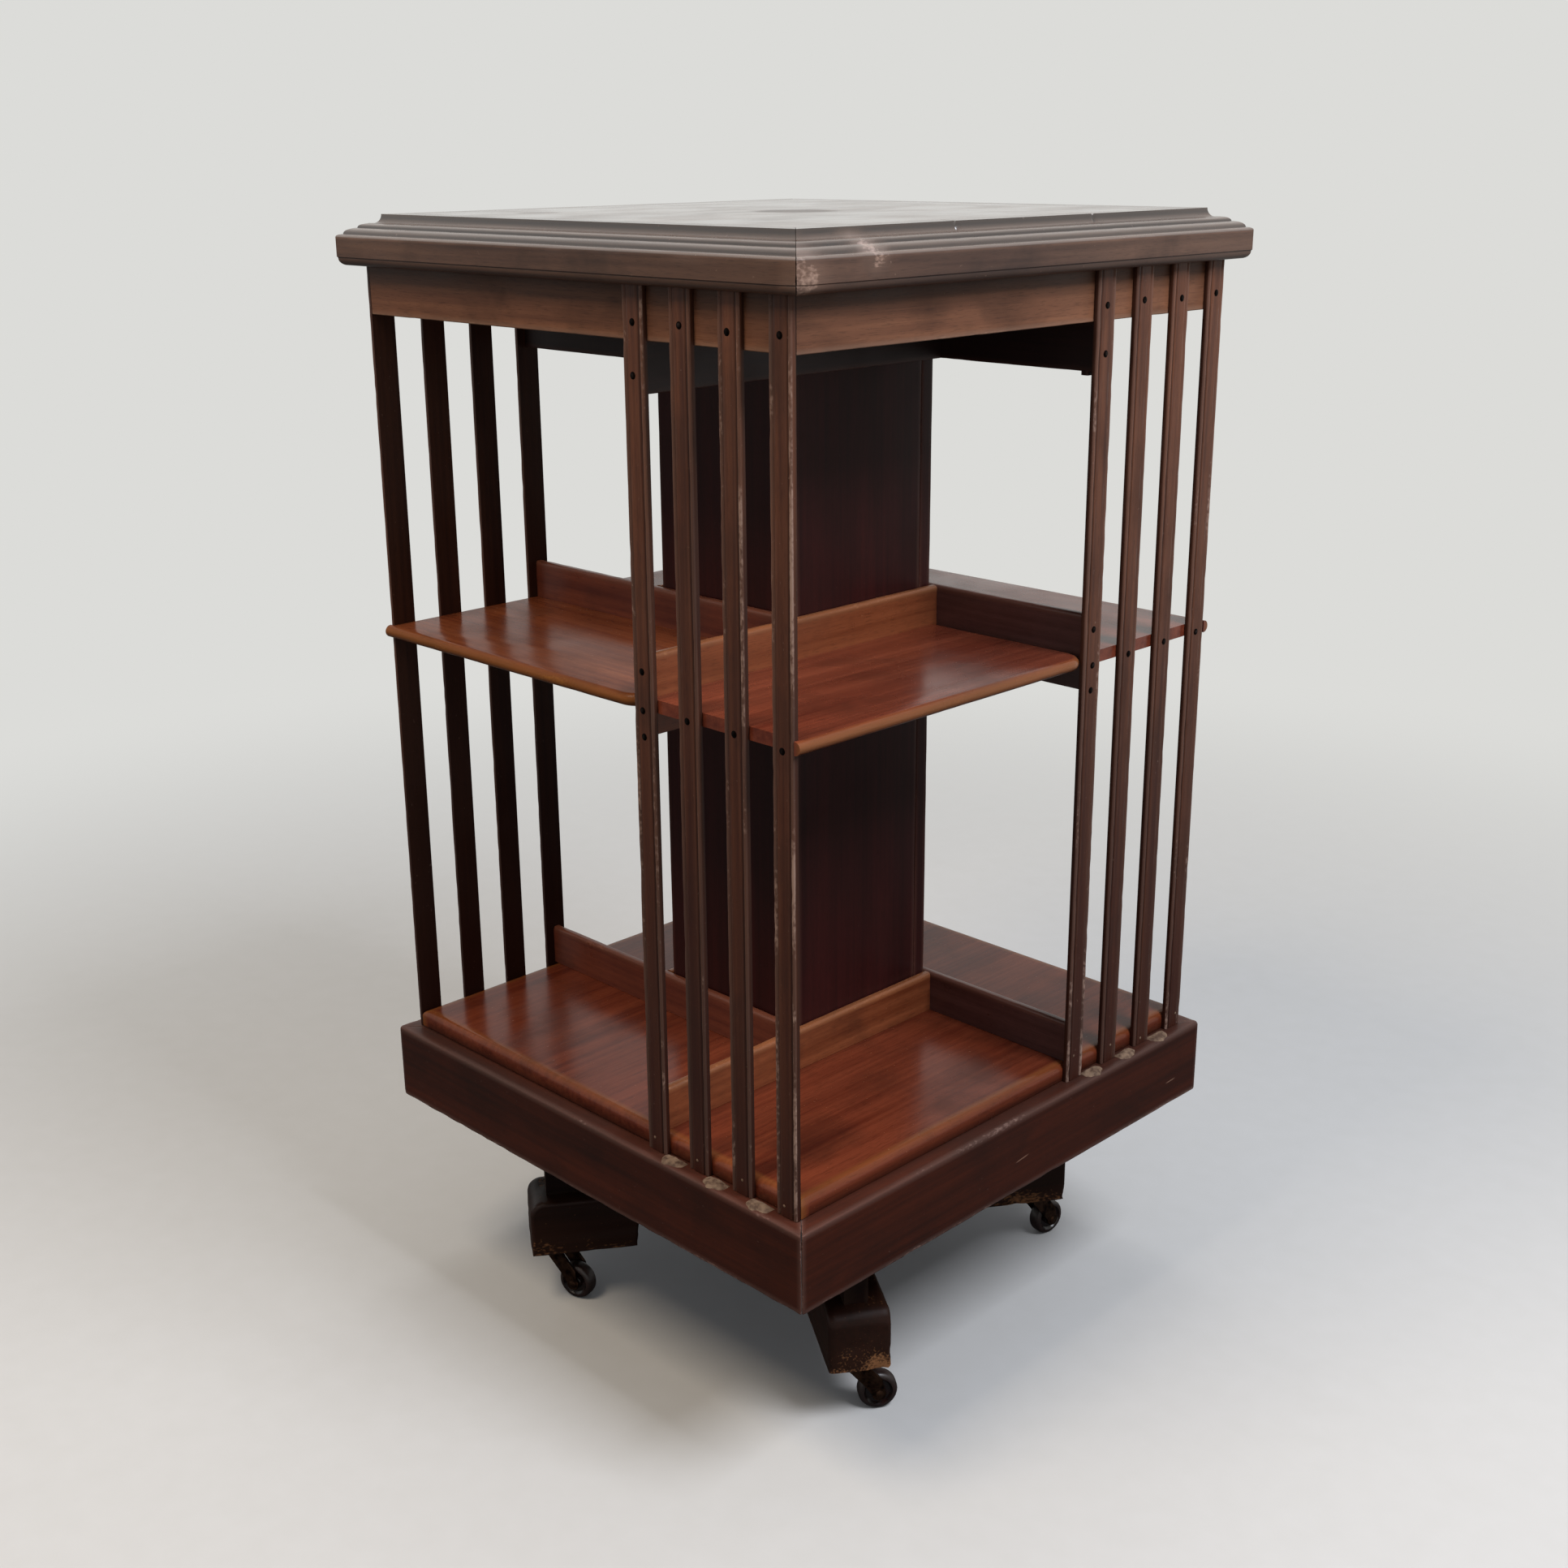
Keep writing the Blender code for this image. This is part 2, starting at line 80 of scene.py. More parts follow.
def mahogany(
    name, along, dark, light, worn, polish, shine=0.4, wear=1.0, rubbing=0.3, grime=0.3, coat=0.0,
    painted_low_shade=None,
):
    """Mahogany under old French polish, its grain along one axis: a soft striped figure with dark pores,
    brown-black dirt and painted shade in the quirks and hollows, and edges rubbed through to paler wood
    that has no shine."""
    material = bpy.data.materials.new(name)
    material.use_nodes = True
    tree = material.node_tree
    shader = tree.nodes["Principled BSDF"]
    grain = add(tree, "Attribute", attribute_name="grain").outputs["Vector"]
    rub_and_painted_light = add(tree, "Attribute", attribute_name="rub_and_painted_light").outputs["Fac"]
    # Millimetres across and along the grain. Real pores are a third as wide, too fine to show.
    layers = {}
    for layer, across, length, detail in (
        ("figure", 26, 340, 3), ("stripe", 4.5, 190, 3), ("pores", 0.6, 9, 1),
        ("blotch", 42, 60, 4), ("spells", 40, 70, 2), ("chips", 2.0, 3.6, 3), ("flecks", 2.2, 3.0, 2),
    ):
        scale = [1000 / across] * 3
        scale[along] = 1000 / length
        mapped = add(tree, "Mapping", {"Vector": grain, "Scale": scale}).outputs["Vector"]
        texture = {"Vector": mapped, "Scale": 1.0, "Detail": detail, "Distortion": 0.25}
        layers[layer] = add(tree, "TexNoise", texture).outputs["Fac"]
    figure = add(tree, "Mix", {0: 0.45, 2: layers["figure"], 3: layers["stripe"]}).outputs[0]
    tone = add(tree, "MapRange", {"Value": figure, "From Min": 0.36, "From Max": 0.64}).outputs["Result"]
    colour = add(tree, "Mix", {0: tone, 6: linear(dark), 7: linear(light)}, data_type="RGBA").outputs[2]
    if painted_low_shade:
        # Painted shade: lower down the colour darkens towards this one, standing in for the lower part
        # getting less light.
        kept, share, low, high = painted_low_shade
        height = add(tree, "SeparateXYZ", {"Vector": add(tree, "TexCoord").outputs["Object"]}).outputs["Z"]
        height = {"Value": height, "From Min": high, "From Max": low, "To Max": share}
        height = add(tree, "MapRange", height).outputs["Result"]
        colour = add(tree, "Mix", {0: height, 6: colour, 7: linear(kept)}, data_type="RGBA").outputs[2]
    pores = {"Value": layers["pores"], "From Min": 0.56, "From Max": 0.70, "To Max": 0.3}
    pores = add(tree, "MapRange", pores).outputs["Result"]
    colour = add(tree, "Mix", {0: pores, 6: colour, 7: linear("#1c0c08")}, data_type="RGBA").outputs[2]
    blotch = {"Value": layers["blotch"], "From Min": 0.48, "From Max": 0.72, "To Max": grime}
    blotch = add(tree, "MapRange", blotch).outputs["Result"]
    # Below zero the rub darkens the wood: dirt in the quirks, and painted shade on reed risers, cove, slat
    # backs and sides, and under the top.
    hollow = {"Value": rub_and_painted_light, "From Min": 0.0, "From Max": -1.0, "To Max": 0.8}
    hollow = add(tree, "MapRange", hollow).outputs["Result"]
    dirt_and_shade = add(tree, "Math", {0: blotch, 1: hollow}, operation="MAXIMUM").outputs[0]
    colour = add(tree, "Mix", {0: dirt_and_shade, 6: colour, 7: linear("#1a0e0a")}, data_type="RGBA").outputs[2]
    rubbed = add(tree, "MapRange", {"Value": rub_and_painted_light, "To Max": rubbing}).outputs["Result"]
    colour = add(tree, "Mix", {0: rubbed, 6: colour, 7: linear(worn)}, data_type="RGBA").outputs[2]
    spells = add(tree, "Math", {0: layers["spells"], 1: 1.4, 2: rub_and_painted_light}, operation="MULTIPLY_ADD").outputs[0]
    chipped = {0: layers["chips"], 1: 0.9, 2: spells}
    chipped = add(tree, "Math", chipped, operation="MULTIPLY_ADD").outputs[0]
    chipped = {"Value": chipped, "From Min": 2.2, "From Max": 2.5, "To Max": wear}
    chipped = add(tree, "MapRange", chipped).outputs["Result"]
    flecks = {"Value": layers["flecks"], "From Min": 0.72, "From Max": 0.80, "To Max": 0.35 * wear}
    flecks = add(tree, "MapRange", flecks).outputs["Result"]
    bare = add(tree, "Math", {0: chipped, 1: flecks}, operation="MAXIMUM").outputs[0]
    colour = add(tree, "Mix", {0: bare, 6: colour, 7: linear(worn)}, data_type="RGBA").outputs[2]
    dull = {"Value": layers["blotch"], "From Min": 0.3, "From Max": 0.7}
    dull.update({"To Min": polish, "To Max": polish + 0.16})
    dull = add(tree, "MapRange", dull).outputs["Result"]
    rough = add(tree, "Mix", {0: bare, 2: dull, 3: 0.7}).outputs[0]
    height = add(tree, "Math", {0: pores, 1: 0.4, 2: bare}, operation="MULTIPLY_ADD").outputs[0]
    bump = {"Height": height, "Strength": 0.2, "Distance": 0.0003}
    bump = add(tree, "Bump", bump, invert=True).outputs["Normal"]
    for socket, source in (("Base Color", colour), ("Roughness", rough), ("Normal", bump)):
        tree.links.new(source, shader.inputs[socket])
    shader.inputs["IOR"].default_value = 1.52
    shader.inputs["Specular IOR Level"].default_value = shine
    shader.inputs["Coat Weight"].default_value = coat
    shader.inputs["Coat Roughness"].default_value = polish
    return material


def eased(corners, radius, steps=4, shoulder=0.003):
    """An outline with rounded corners. Each point ends in its rub: 1 on the round, 0 past a shoulder."""
    points = []
    for i, corner in enumerate(corners):
        here = Vector(corner)
        sides = [Vector(corners[j % len(corners)]) - here for j in (i - 1, i + 1)]
        ends = [here + side.normalized() * min(radius, 0.45 * side.length) for side in sides]
        flats = [here + side.normalized() * min(radius + shoulder, 0.49 * side.length) for side in sides]
        points.append((*flats[0], 0.0))
        for k in range(steps + 1):
            t = k / steps
            points.append((*(ends[0] * (1 - t) ** 2 + here * 2 * t * (1 - t) + ends[1] * t ** 2), 1.0))
        points.append((*flats[1], 0.0))
    return points


def spread(start, end, step=STATION):
    """Places from start to end, about one step apart."""
    count = max(1, round(abs(end - start) / step))
    return [start + (end - start) * i / count for i in range(count + 1)]


def loft(bm, rings, spot=Matrix.Identity(4), loop=False, copy=0):
    """A closed skin over rings of points (x, y, z, rub). grain keeps the place before the piece is turned
    to its spot, moved on for each copy, so that the figure follows each board and no two are alike."""
    rub_and_painted_light = bm.verts.layers.float.get("rub_and_painted_light") or bm.verts.layers.float.new("rub_and_painted_light")
    grain = bm.verts.layers.float_vector.get("grain") or bm.verts.layers.float_vector.new("grain")
    rows = []
    for ring in rings:
        row = []
        for x, y, z, worn in ring:
            vertex = bm.verts.new(spot @ Vector((x, y, z)))
            vertex[rub_and_painted_light] = worn
            vertex[grain] = Vector((x, y, z)) + Vector((0.37, 0.53, 0.71)) * copy
            row.append(vertex)
        rows.append(row)
    pairs = list(zip(rows, rows[1:]))
    if loop:
        pairs.append((rows[-1], rows[0]))
    else:
        bm.faces.new(rows[0])
        bm.faces.new(rows[-1])
    for near, far in pairs:
        for i in range(len(near)):
            j = (i + 1) % len(near)
            bm.faces.new((near[i], near[j], far[j], far[i]))


def piece(name, bm, material, body, nodes=(), knock=0.0):
    """A piece of the object: arrises sunk here and there by knocks, shaded, dressed and set on its body."""
    bmesh.ops.remove_doubles(bm, verts=bm.verts[:], dist=1e-6)
    bmesh.ops.recalc_face_normals(bm, faces=bm.faces[:])
    bm.normal_update()
    rub_and_painted_light = bm.verts.layers.float["rub_and_painted_light"]
    for vertex in bm.verts:
        blow = noise.noise(vertex.co / KNOCK_SPACING)
        blow += 0.25 * noise.noise(vertex.co * 4 / KNOCK_SPACING)
        vertex.co -= vertex.normal * max(0.0, vertex[rub_and_painted_light]) * knock * max(0.0, blow)
    mesh = bpy.data.meshes.new(name)
    bm.to_mesh(mesh)
    bm.free()
    mesh.shade_smooth()
    mesh.set_sharp_from_angle(angle=math.radians(35))
    mesh.materials.append(material)
    thing = bpy.data.objects.new(name, mesh)
    bpy.context.scene.collection.objects.link(thing)
    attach(thing, body)
    if nodes:
        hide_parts(*nodes)
    return thing


stained_mahogany = mahogany(
    "stained_mahogany_dusty", 0, dark="#120806", light="#22110c", worn="#6a5140", polish=0.50, shine=0.1,
    wear=0.9, rubbing=0.15)

half = RAIL_THICKNESS / 2
lap = half + LAP_GAP
middle = (RAIL_BOTTOM + RAIL_TOP) / 2
outline = eased([(-half, RAIL_BOTTOM), (half, RAIL_BOTTOM), (half, RAIL_TOP), (-half, RAIL_TOP)], RAIL_EASE)
outer = [(x, False) for x in spread(-RAIL_REACH, -lap)]
stations = outer + [(-lap, True), (lap, True)] + [(-x, False) for x, _ in reversed(outer)]
for name, k, kept in (
    ("cross_rail_over", 0, (middle + LAP_GAP, RAIL_TOP)),
    ("cross_rail_under", 1, (RAIL_BOTTOM, middle - LAP_GAP)),
):
    share = (kept[1] - kept[0]) / (RAIL_TOP - RAIL_BOTTOM)
    rings = []
    for x, lapped in stations:
        ring = []
        for y, z, r in outline:
            ring.append((x, y, kept[0] + (z - RAIL_BOTTOM) * share if lapped else z, r))
        rings.append(ring)
    bm = bmesh.new()
    loft(bm, rings, Matrix.Rotation(ARM_ANGLES[k], 4, "Z"), copy=k)
    piece(name, bm, stained_mahogany, "stand", (f"arm_{k + 1}", f"arm_{k + 3}"), knock=0.0010)


# Foot blocks
# Solid mahogany blocks screwed under the rail ends, with a rounded toe and a hollow sawn out behind.
# The stain is scuffed off the lower edges, where they have been kicked and dragged.

FOOT_REACH = 0.2235
FOOT_LENGTH = 0.1050
FOOT_WIDTH = 0.0470
FOOT_BOTTOM = 0.0460
FOOT_TOP = 0.0940
FOOT_TOE = 0.0120
FOOT_COVE = 0.0200
FOOT_EASE = 0.0024
FOOT_HORN = 0.0060
SIDE_SINK = 0.0004
TOE_STEP = 0.0050
SIDE_STEP = 0.0060
# How hard each foot has been kicked, and the height over which the scuffs die out.
KICKED = (1.12, 1.0, 1.0, 1.03)
SCUFF_HEIGHT = 0.0700
SCUFF_STEP = 0.0040

scuffed_mahogany = mahogany(
    "stained_mahogany_scuffed", 0, dark="#150806", light="#27110b", worn="#90623f", polish=0.42, shine=0.15,
    wear=1.4, rubbing=0.04)


def inset(outline, by):
    """An outline drawn in on itself, as an eased end needs."""
    drawn = []
    for i, (a, b, rub_and_painted_light) in enumerate(outline):
        before, after = outline[i - 1], outline[(i + 1) % len(outline)]
        way = Vector((after[1] - before[1], before[0] - after[0])).normalized()
        drawn.append((a - way.x * by, b - way.y * by, rub_and_painted_light))
    return drawn


def arc(centre, radii, start, end, steps):
    """Points along a round or elliptical arc, by angles in degrees."""
    angles = [math.radians(start + (end - start) * i / steps) for i in range(steps + 1)]
    return [(centre[0] + radii[0] * math.cos(a), centre[1] + radii[1] * math.sin(a)) for a in angles]


back = FOOT_REACH - FOOT_LENGTH
toe = arc((FOOT_REACH - FOOT_TOE, FOOT_TOP - FOOT_TOE), (FOOT_TOE, FOOT_TOE), 0, 90, 8)
hollow = arc((back, FOOT_BOTTOM), (FOOT_COVE, FOOT_TOP - FOOT_HORN - FOOT_BOTTOM), 90, 0, 10)
sole = [(x, FOOT_BOTTOM, 0.8) for x in spread(back + FOOT_COVE, FOOT_REACH)[1:]]
face = []
for z in spread(FOOT_BOTTOM, FOOT_TOP - FOOT_TOE, TOE_STEP)[1:-1]:
    face.append((FOOT_REACH, z, 1.0 - 0.7 * (z - FOOT_BOTTOM) / (FOOT_TOP - FOOT_TOE - FOOT_BOTTOM)))
upper = [(x, z, 0.3 + 0.6 * m / (len(toe) - 1)) for m, (x, z) in enumerate(toe)]
upper += [(x, FOOT_TOP, 0.9) for x in spread(FOOT_REACH - FOOT_TOE, back)[1:]]
outline = sole + face + upper + [(x, z, 0.1) for x, z in hollow[:-1]] + [(*hollow[-1], 1.0)]
half = FOOT_WIDTH / 2
edge = [(0.0, FOOT_EASE), (0.3 * FOOT_EASE, 0.45 * FOOT_EASE), (FOOT_EASE, 0.0)]
side_draw = FOOT_EASE + SIDE_SINK
stations = [(-half, side_draw, 0.0)] + [(y - half, draw, 1.0) for y, draw in edge]
stations += [(y, 0.0, 0.0) for y in spread(SIDE_STEP - half, half - SIDE_STEP, SIDE_STEP)]
stations += [(half - y, draw, 1.0) for y, draw in reversed(edge)] + [(half, side_draw, 0.0)]
for k, angle in enumerate(ARM_ANGLES):
    rings = []
    for y, draw, end_rub in stations:
        ring = []
        for x, z, r in inset(outline, draw):
            scuffed = max(0.0, KICKED[k] - (z - FOOT_BOTTOM) / SCUFF_HEIGHT)
            dusty = 1.0 if z > FOOT_TOP - 0.0005 else 0.6 * end_rub * r
            ring.append((x, y, z, scuffed if draw == side_draw else max(scuffed, dusty)))
        rings.append(ring)
    bm = bmesh.new()
    loft(bm, rings, Matrix.Rotation(angle, 4, "Z"), copy=k)
    for z in spread(FOOT_BOTTOM + 0.003, FOOT_BOTTOM + SCUFF_HEIGHT, SCUFF_STEP):
        if z > FOOT_TOP:
            break
        everything = bm.verts[:] + bm.edges[:] + bm.faces[:]
        bmesh.ops.bisect_plane(bm, geom=everything, plane_co=(0, 0, z), plane_no=(0, 0, 1))
    piece(f"foot_block_{k + 1}", bm, scuffed_mahogany, "stand", (f"arm_{k + 1}",), knock=0.0022)


# Caster forks
# Cast brass horns, tarnished brown: a round crown under the foot and two cheeks that trail to the axle.
# A stem holds each in its foot, and the axle pin is riveted over outside the cheeks.

CASTER_REACH = 0.2015
CASTER_TURNS = (88, 25, 230, 143)
CASTER_TRAIL = 0.0180
CROWN_TOP = 0.0457
CROWN_BASE = 0.0417
CROWN_RADIUS = 0.0130
AXLE_HEIGHT = 0.0149
CHEEK_INNER = 0.0066
CHEEK_OUTER = 0.0091
CHEEK_BOSS = 0.0055
CHEEK_ROOT = 0.0437
CHEEK_EASE = 0.0004
RIVET_RADIUS = 0.0034
RIVET_HEIGHT = 0.0012
FACETS = 40


def tarnished(name, bright, dull, roughness):
    """Old bare metal: bright where it is rubbed, browned by tarnish between, with a fine cast grit."""
    material = bpy.data.materials.new(name)
    material.use_nodes = True
    tree = material.node_tree
    shader = tree.nodes["Principled BSDF"]
    place = add(tree, "TexCoord").outputs["Object"]
    rub_and_painted_light = add(tree, "Attribute", attribute_name="rub_and_painted_light").outputs["Fac"]
    stain = add(tree, "TexNoise", {"Vector": place, "Scale": 1 / 0.006, "Detail": 4.0}).outputs["Fac"]
    grit = add(tree, "TexNoise", {"Vector": place, "Scale": 1 / 0.0012, "Detail": 2.0}).outputs["Fac"]
    shine = add(tree, "Math", {0: rub_and_painted_light, 1: 0.25, 2: stain}, operation="MULTIPLY_ADD").outputs[0]
    shine = add(tree, "MapRange", {"Value": shine, "From Min": 0.62, "From Max": 0.90}).outputs["Result"]
    colour = add(tree, "Mix", {0: shine, 6: linear(dull), 7: linear(bright)}, data_type="RGBA").outputs[2]
    rough = {"Value": shine, "To Min": roughness + 0.2, "To Max": roughness}
    rough = add(tree, "MapRange", rough).outputs["Result"]
    bump = {"Height": grit, "Strength": 0.3, "Distance": 0.0002}
    bump = add(tree, "Bump", bump).outputs["Normal"]
    for socket, source in (("Base Color", colour), ("Roughness", rough), ("Normal", bump)):
        tree.links.new(source, shader.inputs[socket])
    shader.inputs["Metallic"].default_value = 1.0
    return material


def turned(profile, facets=FACETS):
    """Rings of a piece turned about the Z axis, from radius, height and rub."""
    angles = [2 * math.pi * i / facets for i in range(facets)]
    return [[(r * math.cos(a), r * math.sin(a), z, rub_and_painted_light) for a in angles] for r, z, rub_and_painted_light in profile]


cast_brass = tarnished("cast_brass_tarnished", bright="#4a3428", dull="#140b08", roughness=0.38)

# Radius, height and rub down the crown, then the outline of a cheek from its root round the boss.
crown = [
    (0.0005, CROWN_TOP, 0.0), (CROWN_RADIUS - 0.001, CROWN_TOP, 0.5),
    (CROWN_RADIUS, CROWN_TOP - 0.0008, 1.0), (CROWN_RADIUS, CROWN_BASE + 0.0012, 1.0),
    (CROWN_RADIUS - 0.0012, CROWN_BASE, 0.5), (0.0085, CROWN_BASE - 0.0008, 0.0),
    (0.0070, CROWN_BASE - 0.0030, 0.0), (0.0005, CROWN_BASE - 0.0035, 0.0),
]
boss = arc((CASTER_TRAIL, AXLE_HEIGHT), (CHEEK_BOSS, CHEEK_BOSS), 178, 400, 18)
cheek = [(0.0085, CHEEK_ROOT), (-0.0070, CHEEK_ROOT)]
cheek += [(-0.0050, 0.0370), (0.0010, 0.0300), (0.0070, 0.0230)]
cheek += boss + [(0.0205, 0.0270), (0.0150, 0.0340), (0.0105, 0.0395)]
rivet = [(RIVET_RADIUS, 0.0, 0.3), (RIVET_RADIUS * 0.92, RIVET_HEIGHT * 0.5, 0.8)]
rivet += [(RIVET_RADIUS * 0.62, RIVET_HEIGHT * 0.85, 1.0), (0.0003, RIVET_HEIGHT, 1.0)]
plate = (CHEEK_OUTER - CHEEK_INNER) / 2
middle = (CHEEK_OUTER + CHEEK_INNER) / 2
casters = []
for k, (angle, turn) in enumerate(zip(ARM_ANGLES, CASTER_TURNS)):
    spot = Matrix.Rotation(angle, 4, "Z") @ Matrix.Translation((CASTER_REACH, 0, 0))
    spot = spot @ Matrix.Rotation(math.radians(turn), 4, "Z")
    casters.append(spot)
    bm = bmesh.new()
    loft(bm, turned(crown), spot, copy=k)
    for side in (1, -1):
        shape = [(x, z, 0.4) for x, z in cheek]
        rings = []
        for y, draw in (
            (-plate, CHEEK_EASE), (CHEEK_EASE - plate, 0.0), (plate - CHEEK_EASE, 0.0), (plate, CHEEK_EASE),
        ):
            worn = 1.0 if draw else 0.4
            rings.append([(x, side * (middle + y), z, worn) for x, z, _ in inset(shape, draw)])
        loft(bm, rings, spot, copy=k)
        axle_end = Matrix.Translation((CASTER_TRAIL, side * (CHEEK_OUTER - 0.0001), AXLE_HEIGHT))
        loft(bm, turned(rivet, 24), spot @ axle_end @ Matrix.Rotation(-side * math.pi / 2, 4, "X"), copy=k)
    piece(f"caster_horn_{k + 1}", bm, cast_brass, f"caster_{k + 1}", (f"caster_fork_{k + 1}",))


# Caster wheels
# Turned wheels of dark brown composition on the axle pin, with a rounded tread and a hub raised in a dish.
# The tread is dulled by the floor and the hub's face still has some shine.

WHEEL_RADIUS = 0.0149
WHEEL_HALF = 0.0060
WHEEL_BORE = 0.0029
WHEEL_HUB = 0.0055
WHEEL_DISH = 0.0020
TREAD_ROUND = 0.0036


def brown_composition():
    """Hard moulded composition: nearly black brown, faintly mottled, scratched dull round the tread."""
    material = bpy.data.materials.new("moulded_composition_brown")
    material.use_nodes = True
    tree = material.node_tree
    shader = tree.nodes["Principled BSDF"]
    place = add(tree, "TexCoord").outputs["Object"]
    rub_and_painted_light = add(tree, "Attribute", attribute_name="rub_and_painted_light").outputs["Fac"]
    mottle = add(tree, "TexNoise", {"Vector": place, "Scale": 1 / 0.004, "Detail": 3.0}).outputs["Fac"]
    tone = add(tree, "MapRange", {"Value": mottle, "From Min": 0.35, "From Max": 0.65}).outputs["Result"]
    colour = {0: tone, 6: linear("#0f0605"), 7: linear("#1e0b08")}
    colour = add(tree, "Mix", colour, data_type="RGBA").outputs[2]
    scuff = add(tree, "Math", {0: rub_and_painted_light, 1: mottle}, operation="MULTIPLY").outputs[0]
    colour = add(tree, "Mix", {0: scuff, 6: colour, 7: linear("#26140f")}, data_type="RGBA").outputs[2]
    rough = {"Value": scuff, "From Max": 0.6, "To Min": 0.24, "To Max": 0.50}
    rough = add(tree, "MapRange", rough).outputs["Result"]
    bump = add(tree, "Bump", {"Height": mottle, "Strength": 0.15, "Distance": 0.0002}).outputs["Normal"]
    for socket, source in (("Base Color", colour), ("Roughness", rough), ("Normal", bump)):
        tree.links.new(source, shader.inputs[socket])
    return material


composition = brown_composition()

# Radius, place along the axle and rub, from the bore across the hub and its dish to the tread.
flank = [
    (WHEEL_BORE, WHEEL_HALF, 0.2), (WHEEL_HUB - 0.0004, WHEEL_HALF, 0.2),
    (WHEEL_HUB, WHEEL_HALF - 0.0004, 0.0), (WHEEL_HUB + 0.0004, WHEEL_HALF - WHEEL_DISH, 0.0),
    (0.0092, WHEEL_HALF - WHEEL_DISH, 0.0), (0.0104, WHEEL_HALF - 0.0008, 0.0), (0.0109, WHEEL_HALF, 0.2),
]
tread = arc((WHEEL_RADIUS - TREAD_ROUND, WHEEL_HALF - TREAD_ROUND), (TREAD_ROUND, TREAD_ROUND), 90, 0, 6)
flank += [(r, y, 1.0) for r, y in tread]
profile = flank + [(r, -y, rub_and_painted_light) for r, y, rub_and_painted_light in reversed(flank)]
for k, spot in enumerate(casters):
    axle = Matrix.Translation((CASTER_TRAIL, 0, AXLE_HEIGHT)) @ Matrix.Rotation(math.pi / 2, 4, "X")
    bm = bmesh.new()
    loft(bm, turned(profile, 56), spot @ axle, loop=True, copy=k)
    piece(f"wheel_{k + 1}", bm, composition, f"wheel_{k + 1}", (f"caster_wheel_{k + 1}",))


# Spindle and pivot cup
# A blackened iron post with a flange on the cross rails, and a cup under the top that hangs on its end.
# Both stay hidden in the column, and keep the forge scale that nothing has rubbed off.

blackened_iron = tarnished("blackened_iron_scaled", bright="#5b5650", dull="#26221f", roughness=0.45)
for node in ("spindle", "pivot_cup"):
    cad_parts[node].material_slots[0].material = blackened_iron


# Plinth
# Four mahogany apron boards, mitred at the corners and stained a dark red-brown, under the whole case.
# They stand out past the slats, so their top edge is a ledge, made paler by dust and a painted sheen. The
# corners are rubbed pale.

SIDES = ("right", "back", "left", "front")
MITRE_GAP = 0.0002
PLINTH_EASE = 0.0022
PLINTH_BACK = 0.2086
CORNER_SOFT = 0.0012
FRONT_CORNER = (("right", True), ("front", False))
FRONT_CHAFE = 1.15
# The least rub on the ledge pales it: part dust, part painted sheen of the polish.
LEDGE_RUB = 0.82
LEDGE_DUST_AND_SHEEN = 0.25
# Share of the way along a board, softening and rub, from its mitred end inwards.
BOARD_END = [(-1.0, 1.0, 1.0), (-0.9955, 0.3, 0.9), (-0.990, 0.0, 0.5), (-0.978, 0.0, 0.0)]
# Start and end of each scratch on the right-hand board, along it and up.
SCRATCHES = (((0.1850, 0.1808), (0.1985, 0.1814)), ((-0.0056, 0.1856), (0.0104, 0.1873)))
SCRATCH_WIDTH = 0.0012
SCRATCH_DEPTH = 0.75
quarter_turns = [Matrix.Rotation(math.pi / 2 * k, 4, "Z") for k in range(4)]

plinth_mahogany = mahogany(
    "mahogany_red_brown_polish", 1, dark="#30130a", light="#4a1f11", worn="#a4867a", polish=0.33,
    shine=0.15, wear=0.5, rubbing=0.15, grime=0.45)

tree = plinth_mahogany.node_tree
shader = tree.nodes["Principled BSDF"]
place = add(tree, "Attribute", attribute_name="grain").outputs["Vector"]
for start, end in SCRATCHES:
    start, end = Vector((0.0, *start)), Vector((0.0, *end))
    way = (end - start).normalized()
    across = Vector((0.0, -way.z, way.y))
    middle = {0: place, 1: (start + end) / 2}
    middle = add(tree, "VectorMath", middle, operation="SUBTRACT").outputs[0]
    cut = SCRATCH_DEPTH
    for axis, reach in ((way, (end - start).length / 2), (across, SCRATCH_WIDTH / 2)):
        away = add(tree, "VectorMath", {0: middle, 1: axis}, operation="DOT_PRODUCT").outputs["Value"]
        away = add(tree, "Math", {0: away}, operation="ABSOLUTE").outputs[0]
        cut = {"Value": away, "From Min": reach, "From Max": reach / 2, "To Max": cut}
        cut = add(tree, "MapRange", cut).outputs["Result"]
    colour = {0: cut, 6: shader.inputs["Base Color"].links[0].from_socket, 7: linear("#94705c")}
    colour = add(tree, "Mix", colour, data_type="RGBA").outputs[2]
    tree.links.new(colour, shader.inputs["Base Color"])

